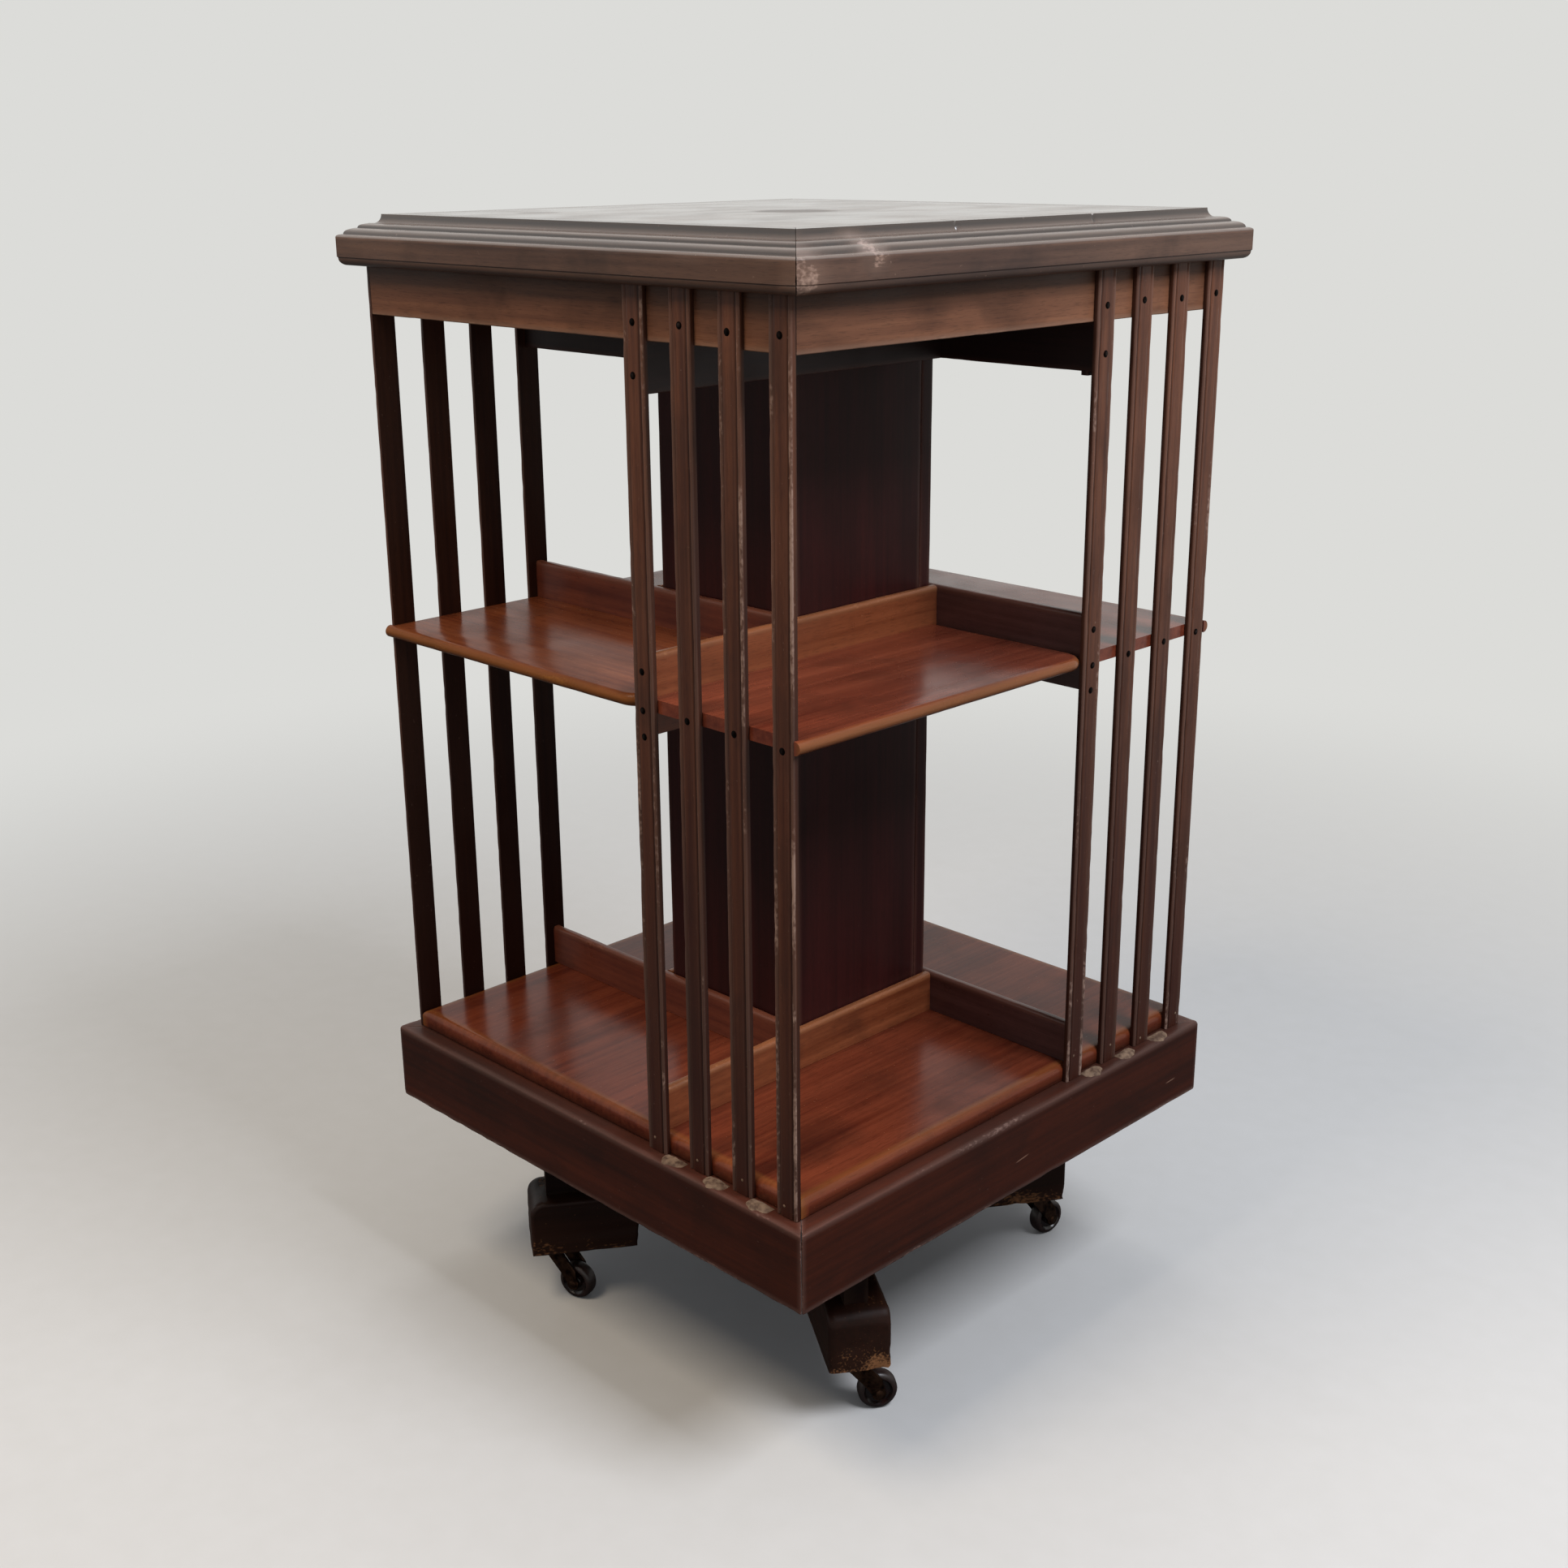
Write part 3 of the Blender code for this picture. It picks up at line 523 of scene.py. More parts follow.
low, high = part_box("plinth_right")
corners = [(PLINTH_BACK, low.z), (high.x, low.z), (high.x, high.z), (PLINTH_BACK, high.z)]
outline = eased(corners, PLINTH_EASE)
stations = BOARD_END + [(s, 0.0, 0.0) for s in spread(-0.96, 0.96, 0.03)]
stations += [(-s, soft, rub_and_painted_light) for s, soft, rub_and_painted_light in reversed(BOARD_END)]
for k, (side, turn) in enumerate(zip(SIDES, quarter_turns)):
    rings = []
    for share, soft, corner in stations:
        chafed = FRONT_CHAFE if (side, share < 0) in FRONT_CORNER else 1.0
        ring = []
        for x, z, r in outline:
            outer = x > PLINTH_BACK + PLINTH_EASE
            x -= soft * CORNER_SOFT if outer else 0.0
            # Dust and painted sheen on the ledge.
            if z > high.z - PLINTH_EASE:
                r = max(LEDGE_RUB * r, LEDGE_DUST_AND_SHEEN)
            ring.append((x, share * (x - MITRE_GAP), z, max(r, chafed * corner if outer else 0.0)))
        rings.append(ring)
    bm = bmesh.new()
    loft(bm, rings, turn, copy=k)
    piece(f"plinth_board_{side}", bm, plinth_mahogany, "case", (f"plinth_{side}",), knock=0.0008)


# Bottom shelf
# One square mahogany board laid on the plinth, its upper edge rounded over, under a deep red polish.
# The polish has kept some gloss and faintly shows the slats and the light behind them.

SHELF_ROUND = 0.0055
SPINDLE_HOLE = 0.0157

bottom_mahogany = mahogany(
    "mahogany_deep_polish", 1, dark="#572315", light="#793a24", worn="#95602f", polish=0.15,
    shine=0.18, wear=0.9, rubbing=0.5, grime=0.4, coat=0.04)


def slab(profile, step=0.014, corner_reach=0.004):
    """Rings of a square slab from half width, height and rub. The corners of its edge are worn arrises."""
    widest = max(half for half, _, _ in profile)
    near = corner_reach / widest
    shares = [(-1.0, 1.0), (near - 1, 0.4)]
    shares += [(s, -1.0) for s in spread(2 * near - 1, 1 - 2 * near, step / widest)]
    shares += [(1 - near, 0.4)]
    rings = []
    for half, z, rub_and_painted_light in profile:
        ring = []
        for k in range(4):
            turn = Matrix.Rotation(math.pi / 2 * k, 3, "Z")
            for share, corner in shares:
                x, y, _ = turn @ Vector((half, half * share, 0))
                ring.append((x, y, z, max(rub_and_painted_light, corner) if half > widest - SHELF_ROUND else rub_and_painted_light))
        rings.append(ring)
    return rings


low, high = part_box("bottom_shelf")
nose = arc((high.x - SHELF_ROUND, high.z - SHELF_ROUND), (SHELF_ROUND, SHELF_ROUND), 0, 90, 8)
# Painted shade: the lower front edge, where the board sits on the plinth, and the foot of its nose are
# darkened; higher up the nose the rub turns to paler wear.
profile = [(SPINDLE_HOLE, low.z, 0.0), (high.x - 0.0005, low.z, -0.9), (high.x, low.z + 0.0005, -0.9)]
profile += [(x, z, 0.7 * z_share - 0.1) for z_share, (x, z) in zip(spread(0, 1, 1 / 8), nose)]
profile += [(high.x - SHELF_ROUND - 0.004, high.z, 0.0), (SPINDLE_HOLE, high.z, 0.0)]
bm = bmesh.new()
loft(bm, slab(profile), loop=True)
piece("bottom_shelf_board", bm, bottom_mahogany, "case", ("bottom_shelf",), knock=0.0005)


# Column
# Four upright mahogany panels round the spindle, each lapping the next at the corner, glued and pinned.
# They are the darkest wood of the case, with a quiet vertical stripe under a thin polish.

COLUMN_EASE = 0.0009

column_mahogany = mahogany(
    "mahogany_dark_polish", 2, dark="#2d1312", light="#3f1a18", worn="#6c483c", polish=0.30, shine=0.14,
    wear=0.5)

low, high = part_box("column_panel_right")
corners = [(low.x, low.y), (high.x, low.y), (high.x, high.y), (low.x, high.y)]
outline = eased(corners, COLUMN_EASE)
for k, (side, turn) in enumerate(zip(SIDES, quarter_turns)):
    rings = [[(x, y, z, r) for x, y, r in outline] for z in spread(low.z, high.z, 0.02)]
    bm = bmesh.new()
    loft(bm, rings, turn, copy=k)
    panel = (f"column_panel_{side}",)
    piece(f"column_wall_{side}", bm, column_mahogany, "case", panel, knock=0.0005)


# Book stops on the bottom shelf and dividers at the middle shelf
# Thin mahogany boards on edge, rounded along the top, from the column's far corner to the first slat.
# The dividers pass the middle shelf and show below it as its bearers. Light wood, rubbed by the books,
# painted darker on the front and back boards as shade.

STOP_ROUND = 0.0025

rail_mahogany = mahogany(
    "mahogany_light_polish", 1, dark="#65301a", light="#8d4f30", worn="#b98054", polish=0.24, shine=0.3,
    wear=0.7, grime=0.45)
# Darker copies for the front and back boards: painted shade, for the less light their faces get.
red_shaded_rail_mahogany = mahogany(
    "mahogany_red_polish_painted_shade", 1, dark="#5b2b20", light="#7f432f", worn="#946046", polish=0.26, shine=0.3,
    wear=0.7)
dark_shaded_rail_mahogany = mahogany(
    "mahogany_dark_red_polish_painted_shade", 1, dark="#482b28", light="#66453f", worn="#946046", polish=0.26, shine=0.5,
    wear=0.7)

for kind, node in (("book_stop", "lower_stop"), ("tier_divider", "shelf_divider")):
    low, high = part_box(f"{node}_right")
    crest = arc((high.x - STOP_ROUND, high.z - STOP_ROUND), (STOP_ROUND, STOP_ROUND), 0, 90, 6)
    crest += arc((low.x + STOP_ROUND, high.z - STOP_ROUND), (STOP_ROUND, STOP_ROUND), 90, 180, 6)
    outline = [(low.x, low.z, 0.0), (high.x, low.z, 0.0), (high.x, high.z - 2 * STOP_ROUND, 0.0)]
    outline += [(x, z, 0.8) for x, z in crest] + [(low.x, high.z - 2 * STOP_ROUND, 0.0)]
    for k, (side, turn) in enumerate(zip(SIDES, quarter_turns)):
        rings = [[(x, y, z, r) for x, z, r in outline] for y in spread(low.y, high.y)]
        bm = bmesh.new()
        loft(bm, rings, turn, copy=k)
        wood = {"back": dark_shaded_rail_mahogany, "front": red_shaded_rail_mahogany}.get(side, rail_mahogany)
        piece(f"{kind}_{side}", bm, wood, "case", (f"{node}_{side}",), knock=0.0005)


# Middle shelf
# A mahogany board in each of the four compartments, with a full round nose worn to lighter wood.
# It is held by the dividers behind it and by screws through the slats at its end.

NOSE_CORNER = 0.0179
SLAT_BACK = 0.2148
SLAT_FACE = 0.2188
CASE_HALF = 0.2145

shelf_mahogany = mahogany(
    "mahogany_bright_polish", 1, dark="#5e2719", light="#81402b", worn="#95602f", polish=0.17, shine=0.26,
    wear=0.9, rubbing=0.5, grime=0.4, coat=0.06)
# The front board takes a browner copy with little shine: the brown paints in the warmer sheen seen on that
# side.
warm_sheen_shelf_mahogany = mahogany(
    "mahogany_brown_painted_sheen", 1, dark="#602b18", light="#82482c", worn="#95602f", polish=0.15, shine=0.07,
    wear=0.9, rubbing=0.5, grime=0.4)

low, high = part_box("shelf_board_right")
half = (high.z - low.z) / 2
centre = (high.x - NOSE_CORNER, high.y - NOSE_CORNER)
nose = arc((half, low.z + half), (half, half), 270, 90, 12)
for k, (side, turn) in enumerate(zip(SIDES, quarter_turns)):
    rings = []
    for i, (draw, z) in enumerate(nose):
        worn = 0.95 * math.sin(math.pi * i / (len(nose) - 1))
        ring = [(low.x, -CASE_HALF, z, 0.0), (SLAT_BACK, -CASE_HALF, z, 0.0)]
        ring += [(SLAT_BACK, -SLAT_FACE, z, 0.0)]
        ring += [(high.x - draw, y, z, worn) for y in spread(-SLAT_FACE, centre[1])]
        ring += [(x, y, z, worn) for x, y in arc(centre, (NOSE_CORNER - draw,) * 2, 0, 90, 12)[1:]]
        ring += [(x, high.y - draw, z, worn) for x in spread(centre[0], low.x, 0.012)[1:]]
        rings.append(ring)
    bm = bmesh.new()
    loft(bm, rings, turn, copy=k)
    # Painted warm sheen on the front board.
    wood = warm_sheen_shelf_mahogany if side == "front" else shelf_mahogany
    piece(f"middle_shelf_{side}", bm, wood, "case", (f"shelf_board_{side}",), knock=0.0006)


# Upper rails
# Deep mahogany boards hung under the top along the column, notched at the outer end to pass the frieze.
# They tie the column to the slats and have stayed dark and matt. A peg shows under the end of one of them.

RAIL_ROUND = 0.0009
FRIEZE_BACK = 0.2005
FRIEZE_BASE = 0.7820
NOTCH_GAP = 0.0003
PEG_SPAN = (0.0060, 0.0130)
PEG_TAPER = 0.0010
PEG_DROP = 0.0026
PEG_ROOT = 0.0010

low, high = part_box("upper_rail_right")
corners = [(low.x, low.z), (high.x, low.z), (high.x, high.z), (low.x, high.z)]
outline = eased(corners, RAIL_ROUND)
drop = high.z - FRIEZE_BASE + NOTCH_GAP
behind = NOTCH_GAP - FRIEZE_BACK
middle = (low.z + high.z) / 2
stations = [(y, drop) for y in spread(low.y, behind)] + [(y, 0.0) for y in spread(behind, high.y)]
upper_mahogany = mahogany(
    "mahogany_dark_matt", 1, dark="#1c0d0c", light="#2e1613", worn="#5e4034", polish=0.42, shine=0.3,
    wear=0.4, grime=0.4)
for k, (side, turn) in enumerate(zip(SIDES, quarter_turns)):
    rings = [[(x, y, z - (cut if z > middle else 0.0), r) for x, z, r in outline] for y, cut in stations]
    bm = bmesh.new()
    loft(bm, rings, turn, copy=k)
    if side == "back":
        near, far = (low.y + place for place in PEG_SPAN)
        peg = eased([(low.x, near), (high.x, near), (high.x, far), (low.x, far - PEG_TAPER)], PEG_TAPER)
        ends = (low.z - PEG_DROP, low.z + PEG_ROOT)
        loft(bm, [[(x, y, z, r) for x, y, r in peg] for z in ends], turn, copy=5)
    piece(f"hung_rail_{side}", bm, upper_mahogany, "case", (f"upper_rail_{side}",), knock=0.0004)


# Frieze
# Four mahogany boards under the top, mitred at the corners, that the slats are screwed to.
# The top has shaded them from wear. They keep a warm brown with little gloss, darkening to black towards
# the top with dust and painted shade under the top's overhang.

FRIEZE_EASE = 0.0009
DUST_AND_SHADE_FROM = 0.7990
DUST_AND_SHADE = -0.7
PLAIN_STEP = 0.0050
DUST_AND_SHADE_STEP = 0.0040

frieze_mahogany = mahogany(
    "mahogany_warm_brown", 1, dark="#633e2c", light="#895b41", worn="#a5846e", polish=0.38, shine=0.2,
    wear=0.5, grime=0.5)

low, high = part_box("frieze_right")
corners = [(FRIEZE_BACK, low.z), (high.x, low.z), (high.x, high.z), (FRIEZE_BACK, high.z)]
outline = []
for x, z, r in eased(corners, FRIEZE_EASE):
    # Above a set height the face darkens towards the top, and the upper edges are dark: dust and painted
    # shade under the top.
    if x == high.x and z > DUST_AND_SHADE_FROM and not any(p[1] > DUST_AND_SHADE_FROM for p in outline):
        for level in spread(low.z + PLAIN_STEP, DUST_AND_SHADE_FROM, PLAIN_STEP):
            outline.append((high.x, level, 0.0))
        for level in spread(DUST_AND_SHADE_FROM + DUST_AND_SHADE_STEP, z - DUST_AND_SHADE_STEP / 2, DUST_AND_SHADE_STEP):
            outline.append((high.x, level, DUST_AND_SHADE * (level - DUST_AND_SHADE_FROM) / (high.z - DUST_AND_SHADE_FROM)))
    outline.append((x, z, DUST_AND_SHADE if z > DUST_AND_SHADE_FROM else r))
for k, (side, turn) in enumerate(zip(SIDES, quarter_turns)):
    rings = []
    for share in spread(-1, 1, 0.03):
        rings.append([(x, share * (x - MITRE_GAP), z, r) for x, z, r in outline])
    bm = bmesh.new()
    loft(bm, rings, turn, copy=k)
    piece(f"frieze_board_{side}", bm, frieze_mahogany, "case", (f"frieze_{side}",), knock=0.0004)


# Slats
# Sixteen thin upright mahogany laths with a bead and quirk run along both front edges, four to a side.
# Screwed through their faces to frieze, rails and shelf, they are scuffed along the beads by use. Their
# backs, sides and lower parts carry painted shade, and their beads a painted sheen.

SLAT_BEAD = 0.0034
QUIRK_WIDTH = 0.0012
QUIRK_DEPTH = 0.0009
FACE_MARGIN = 0.0030
PLAIN_CHAFE_AND_SHEEN = 0.7
FOOT_KICK = 0.06
KICK_HEIGHT = 0.0600
# Rub of the beads of the slats that are handled more than the others.
CHAFED_SLATS = {
    ("front", 0): 0.90, ("front", 1): 0.78, ("front", 2): 0.88, ("front", 3): 0.97,
    ("right", 0): 0.93, ("right", 3): 0.85, ("left", 2): 0.88,
}
# Height, reach and strength of the knocks along the right-hand bead of a slat.
SLAT_KNOCKS = {
    ("front", 0): ((0.307, 0.008, 0.5), (0.279, 0.015, 0.35)),
    ("front", 3): (
        (0.465, 0.022, 0.6), (0.370, 0.012, 0.5), (0.690, 0.110, 0.3), (0.273, 0.014, 0.35),
        (0.240, 0.010, 0.35)),
    ("front", 2): ((0.690, 0.015, 0.4), (0.560, 0.020, 0.3)),
    ("right", 3): ((0.640, 0.060, 0.3),),
}

# The slats darken towards the bottom: painted shade, for the less light that reaches their lower part.
slat_mahogany = mahogany(
    "mahogany_slat_brown", 2, dark="#42241a", light="#744731", worn="#a88a7a", polish=0.38, shine=0.23,
    wear=0.9, rubbing=0.16, grime=0.4, painted_low_shade=("#34130a", 0.85, 0.24, 0.74))

slats = []
for k, (side, turn) in enumerate(zip(SIDES, quarter_turns)):
    for i in range(4):
        low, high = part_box(f"slat_right_{i + 1}")
        slats.append((side, turn, i, (low.y + high.y) / 2))
        bead_radius = SLAT_BEAD / 2
        bead_centre = high.x - bead_radius
        quirk = high.x - QUIRK_DEPTH
        # The pale rub on the beads is wear and also a painted sheen along them.
        bead_chafe_and_sheen = CHAFED_SLATS.get((side, i), PLAIN_CHAFE_AND_SHEEN)
        # Painted shade: the back and the sides of each slat are darkened.
        outline = [(low.x, low.y, -0.7), (bead_centre, low.y, -0.2)]
        bead = arc((bead_centre, low.y + bead_radius), (bead_radius, bead_radius), -90, 60, 6)[1:]
        outline += [(x, y, bead_chafe_and_sheen) for x, y in bead]
        outline += [(quirk, low.y + SLAT_BEAD, -1.0), (high.x, low.y + SLAT_BEAD + QUIRK_WIDTH, 0.2)]
        outline += [(high.x, low.y + SLAT_BEAD + FACE_MARGIN, 0.0)]
        outline += [(high.x, high.y - SLAT_BEAD - FACE_MARGIN, 0.0)]
        outline += [(high.x, high.y - SLAT_BEAD - QUIRK_WIDTH, 0.2), (quirk, high.y - SLAT_BEAD, -1.0)]
        bead = arc((bead_centre, high.y - bead_radius), (bead_radius, bead_radius), -60, 90, 6)
        outline += [(x, y, bead_chafe_and_sheen) for x, y in bead[:-1]] + [(*bead[-1], -0.2), (low.x, high.y, -0.7)]
        rings = []
        for z in spread(low.z, high.z):
            kicked = FOOT_KICK * max(0.0, 1 - (z - low.z) / KICK_HEIGHT)
            struck = kicked
            for level, reach, strength in SLAT_KNOCKS.get((side, i), ()):
                struck = max(struck, strength * (1 - abs(z - level) / reach))
            ring = []
            for x, y, r in outline:
                ring.append((x, y, z, r + (struck if y > slats[-1][3] else kicked) if r > 0.5 else r))
            rings.append(ring)
        bm = bmesh.new()
        loft(bm, rings, turn, copy=4 * k + i)
        name, node = f"lath_{side}_{i + 1}", f"slat_{side}_{i + 1}"
        piece(name, bm, slat_mahogany, "case", (node,), knock=0.0007)


# Screws through the slats
# Round-headed iron screws, blackened, each on a flat dull ring painted as the shade of a shallow
# countersink: one at the frieze and one at the shelf edge of every slat, and three more in the first slat
# of each side for the rails behind it.

SCREW_RADIUS = 0.0018
SCREW_HEIGHT = 0.0006
SINK_SHADE_RADIUS = 0.0024
SCREW_STRAY = 0.0022
SCREW_LEVELS = (0.7930, 0.5455)
FIRST_SLAT_LEVELS = (0.7610, 0.5700, 0.5270)
FACING_OUT = Matrix.Rotation(math.pi / 2, 4, "Y")

# A flat ring round the head, kept dull and dark: painted shade of the countersink.
dome = [(SINK_SHADE_RADIUS, -0.0004, 0.0), (SINK_SHADE_RADIUS, 0.0001, 0.0), (SCREW_RADIUS, 0.0002, -1.0)]
dome += [(SCREW_RADIUS * 0.9, SCREW_HEIGHT * 0.55, 0.2), (SCREW_RADIUS * 0.6, SCREW_HEIGHT * 0.9, 0.8)]
dome += [(0.0002, SCREW_HEIGHT, 1.0)]
bm = bmesh.new()
for n, (side, turn, i, y) in enumerate(slats):
    levels = SCREW_LEVELS + (FIRST_SLAT_LEVELS if i == 0 else ())
    for m, z in enumerate(levels):
        stray = Vector((noise.noise((n, m, 0.3)), noise.noise((n, m, 7.7)))) * SCREW_STRAY
        spot = Matrix.Translation((SLAT_FACE, y + stray.x, z + stray.y))
        loft(bm, turned(dome, 20), turn @ spot @ FACING_OUT, copy=n)
black_screw = tarnished("blackened_iron_screw", bright="#2e2522", dull="#0c0807", roughness=0.5)
piece("slat_screws", bm, black_screw, "case")


# Putty at the slat feet
# Old filler pressed along the ledge between the feet of the slats, dried pale and crumbling.
# The nail holes near each foot are stopped with dots of the same filler.

PUTTY_START = 0.0092
PUTTY_LENGTH = 0.0205
PUTTY_RISE = 0.0034
PUTTY_BACK = 0.2158
PUTTY_REACH = 0.0128
PUTTY_SINK = 0.0003
LEDGE_TOP = 0.2210
NAIL_LEVEL = 0.2340
NAIL_STRAY = (0.0080, 0.0120)


def old_putty():
    """Dried whiting putty: pale grey tan, dusty and matt, darker where dirt has settled in its crumbs."""
    material = bpy.data.materials.new("whiting_putty_dried")
    material.use_nodes = True
    tree = material.node_tree
    shader = tree.nodes["Principled BSDF"]
    place = add(tree, "TexCoord").outputs["Object"]
    crumbs = add(tree, "TexNoise", {"Vector": place, "Scale": 1 / 0.0045, "Detail": 3.0}).outputs["Fac"]
    tone = add(tree, "MapRange", {"Value": crumbs, "From Min": 0.35, "From Max": 0.60}).outputs["Result"]
    colour = {0: tone, 6: linear("#4e3728"), 7: linear("#7f6752")}
    colour = add(tree, "Mix", colour, data_type="RGBA").outputs[2]
    rough = {"Value": crumbs, "To Min": 0.70, "To Max": 0.95}
    rough = add(tree, "MapRange", rough).outputs["Result"]
    bump = add(tree, "Bump", {"Height": crumbs, "Strength": 0.4, "Distance": 0.0004}).outputs["Normal"]
    for socket, source in (("Base Color", colour), ("Roughness", rough), ("Normal", bump)):
        tree.links.new(source, shader.inputs[socket])
    return material


putty = old_putty()
bm = bmesh.new()
for n, (side, turn, i, y) in enumerate(slats):
    if i == 3:
        continue
    start = y + PUTTY_START
    rings = []
    for s in spread(0, 1, 0.05):
        swell = math.sin(math.pi * (0.02 + 0.96 * s)) ** 0.6
        reach = PUTTY_REACH * (0.55 + 0.45 * swell) * (0.92 + 0.25 * noise.noise((n * 1.7, s * 3, 9.1)))
        ring = []
        for t in spread(0, 1, 0.1):
            crumb = 0.85 + 0.6 * noise.noise((n * 3.1, s * 4, t * 2.5))
            rise = PUTTY_RISE * swell * crumb * math.sin(math.pi * t) ** 0.7
            level = LEDGE_TOP - PUTTY_SINK + rise
            ring.append((PUTTY_BACK + reach * t, start + PUTTY_LENGTH * s, level, 0.0))
        rings.append(ring)
    loft(bm, rings, turn, copy=n)
piece("slat_putty", bm, putty, "case")

stopping = [(0.0011, -0.0003, 0.0), (0.0010, 0.0001, 0.0), (0.0006, 0.0003, 0.0), (0.0002, 0.0003, 0.0)]
bm = bmesh.new()
for n, (side, turn, i, y) in enumerate(slats):
    across = y + noise.noise((n * 2.3, 3.3, 1.2)) * NAIL_STRAY[0]
    level = NAIL_LEVEL + noise.noise((n * 2.9, 8.1, 4.6)) * NAIL_STRAY[1]
    spot = Matrix.Translation((SLAT_FACE, across, level))
    loft(bm, turned(stopping, 14), turn @ spot @ FACING_OUT, copy=n)
piece("nail_stopping", bm, putty, "case")


# Top
# A square mahogany panel in a mitred border, faded to a grey brown under a gloss. The border is moulded
# with a rounded lip, a plain fascia, three reeds, a fillet and a cove, and its front corner is bruised.

PANEL_HALF = 0.1900
SOFFIT_EDGE = 0.0120
LIP_ROUND = 0.0050
LIP_QUIRK = 0.0006
QUIRK_RISE = 0.0003
QUIRK_TOP = 0.0010
TOP_FASCIA = 0.0195
FASCIA_MARGINS = (0.0030, 0.0017)
FASCIA_STEP = 0.0040
# Run and rise of each reed, and the rubs from its foot to its crest. The negative rubs at the feet of the
# upper two reeds are painted shade on their risers.
REEDS = (
    (0.0040, 0.0020, (0.6, 0.7, 0.7, 0.5, 0.2, 0.2, 0.2)),
    (0.0074, 0.0042, (-0.7, -0.7, -0.3, 0.0, 0.3, 0.3, 0.2)),
    (0.0057, 0.0031, (-1.0, -1.0, -0.7, 0.0, 0.3, 0.3, 0.2)),
)
REED_QUIRK = (0.0006, 0.0007)
TOP_FILLET = 0.0025
COVE_RUN = 0.0042
COVE_RISE = 0.0061
# The cove's rub sinks below zero towards its top: painted shade under the edge of the panel.
COVE_RUBS_AND_SHADE = (0.1, 0.1, 0.0, -0.5, -1.0, -0.8, -0.2)
COVE_SHOULDER = 0.0040
FASCIA_SHADE = -0.35
SPLIT_DEPTH = 0.0012
SPLIT_HALF = 0.0016
BRUISE_RUB = 1.08
# Along its side, height and reach of each bruise; places along a side where the cove is split.
BRUISES = {
    "right": [(-0.2260, 0.8270, 0.024), (-0.1640, 0.8360, 0.014)],
    "front": [(0.2290, 0.8270, 0.012)],
}
SPLITS = {"right": (-0.0700, 0.0730)}
# Centre, radius and depth of the marks where the polish of the panel is gone.
MARKS = (((0.0040, -0.0030), 0.031, 0.75), ((-0.1255, -0.1285), 0.016, 0.4))
MARK_RAGGED = 0.018

border_mahogany = mahogany(
    "mahogany_faded_brown", 1, dark="#412a20", light="#674a3a", worn="#b0907c", polish=0.38, shine=0.4,
    wear=0.9, rubbing=0.12, grime=0.6)
reed_mahogany = mahogany(
    "mahogany_faded_polish", 1, dark="#372821", light="#523f34", worn="#a58f84", polish=0.17, shine=0.6,
    wear=0.8, grime=0.3, coat=0.7)
panel_mahogany = mahogany(
    "mahogany_faded_gloss", 1, dark="#43322a", light="#614c40", worn="#a58a7a", polish=0.05, shine=0.5,
    wear=0.8, grime=0.2, coat=0.3)

low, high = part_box("top_board")
tree = panel_mahogany.node_tree
shader = tree.nodes["Principled BSDF"]
place = add(tree, "Attribute", attribute_name="grain").outputs["Vector"]
ragged = add(tree, "TexNoise", {"Vector": place, "Scale": 1 / 0.022, "Detail": 4.0}).outputs["Fac"]
for spot, radius, depth in MARKS:
    away = add(tree, "VectorMath", {0: place, 1: (*spot, high.z)}, operation="DISTANCE").outputs["Value"]
    away = {0: ragged, 1: MARK_RAGGED, 2: away}
    away = add(tree, "Math", away, operation="MULTIPLY_ADD").outputs[0]
    rim = radius + MARK_RAGGED / 2
    mark = {"Value": away, "From Min": 1.15 * rim, "From Max": 0.7 * rim, "To Max": depth}
    mark = add(tree, "MapRange", mark, interpolation_type="SMOOTHSTEP").outputs["Result"]
    colour = {0: mark, 6: shader.inputs["Base Color"].links[0].from_socket, 7: linear("#2a1d17")}
    colour = add(tree, "Mix", colour, data_type="RGBA").outputs[2]
    rough = {0: mark, 2: shader.inputs["Roughness"].links[0].from_socket, 3: 0.6}
    rough = add(tree, "Mix", rough).outputs[0]
    tree.links.new(colour, shader.inputs["Base Color"])
    tree.links.new(rough, shader.inputs["Roughness"])

lip = (high.x - LIP_QUIRK - LIP_ROUND, low.z + LIP_ROUND)
profile = [(PANEL_HALF, low.z, 0.0), (high.x - SOFFIT_EDGE, low.z, 0.0)]
# The rounded lip under the fascia is darkened a little as painted shade.
profile += [(x, z, -0.3) for x, z in arc(lip, (LIP_ROUND, LIP_ROUND), -90, 0, 6)]
profile += [(high.x - LIP_QUIRK, lip[1] + QUIRK_RISE, -1.0), (high.x, lip[1] + QUIRK_TOP, 0.0)]
fascia = (lip[1] + FASCIA_MARGINS[0], low.z + TOP_FASCIA - FASCIA_MARGINS[1])
profile += [(high.x, z, 0.0) for z in spread(*fascia, FASCIA_STEP)]
profile[-1] = (*profile[-1][:2], FASCIA_SHADE)
half = high.x
level = low.z + TOP_FASCIA
for run, rise, rubs in REEDS:
    reed = arc((half - run, level), (run, rise), 0, 90, 7)
    profile += [(x, z, r) for r, (x, z) in zip(rubs, reed)]
    half -= run
    level += rise
    profile.append((half + REED_QUIRK[0], level - REED_QUIRK[1], -1.0))
crest = half - TOP_FILLET
profile += [(half, level, 0.0), (crest, level, 0.0)]
cove = arc((crest, level + COVE_RISE), (COVE_RUN, COVE_RISE), 270, 180, 7)[1:]
profile += [(x, z, r) for r, (x, z) in zip(COVE_RUBS_AND_SHADE, cove)]
profile += [(crest - COVE_RUN - COVE_SHOULDER, high.z, 0.0), (PANEL_HALF, high.z, 0.0)]
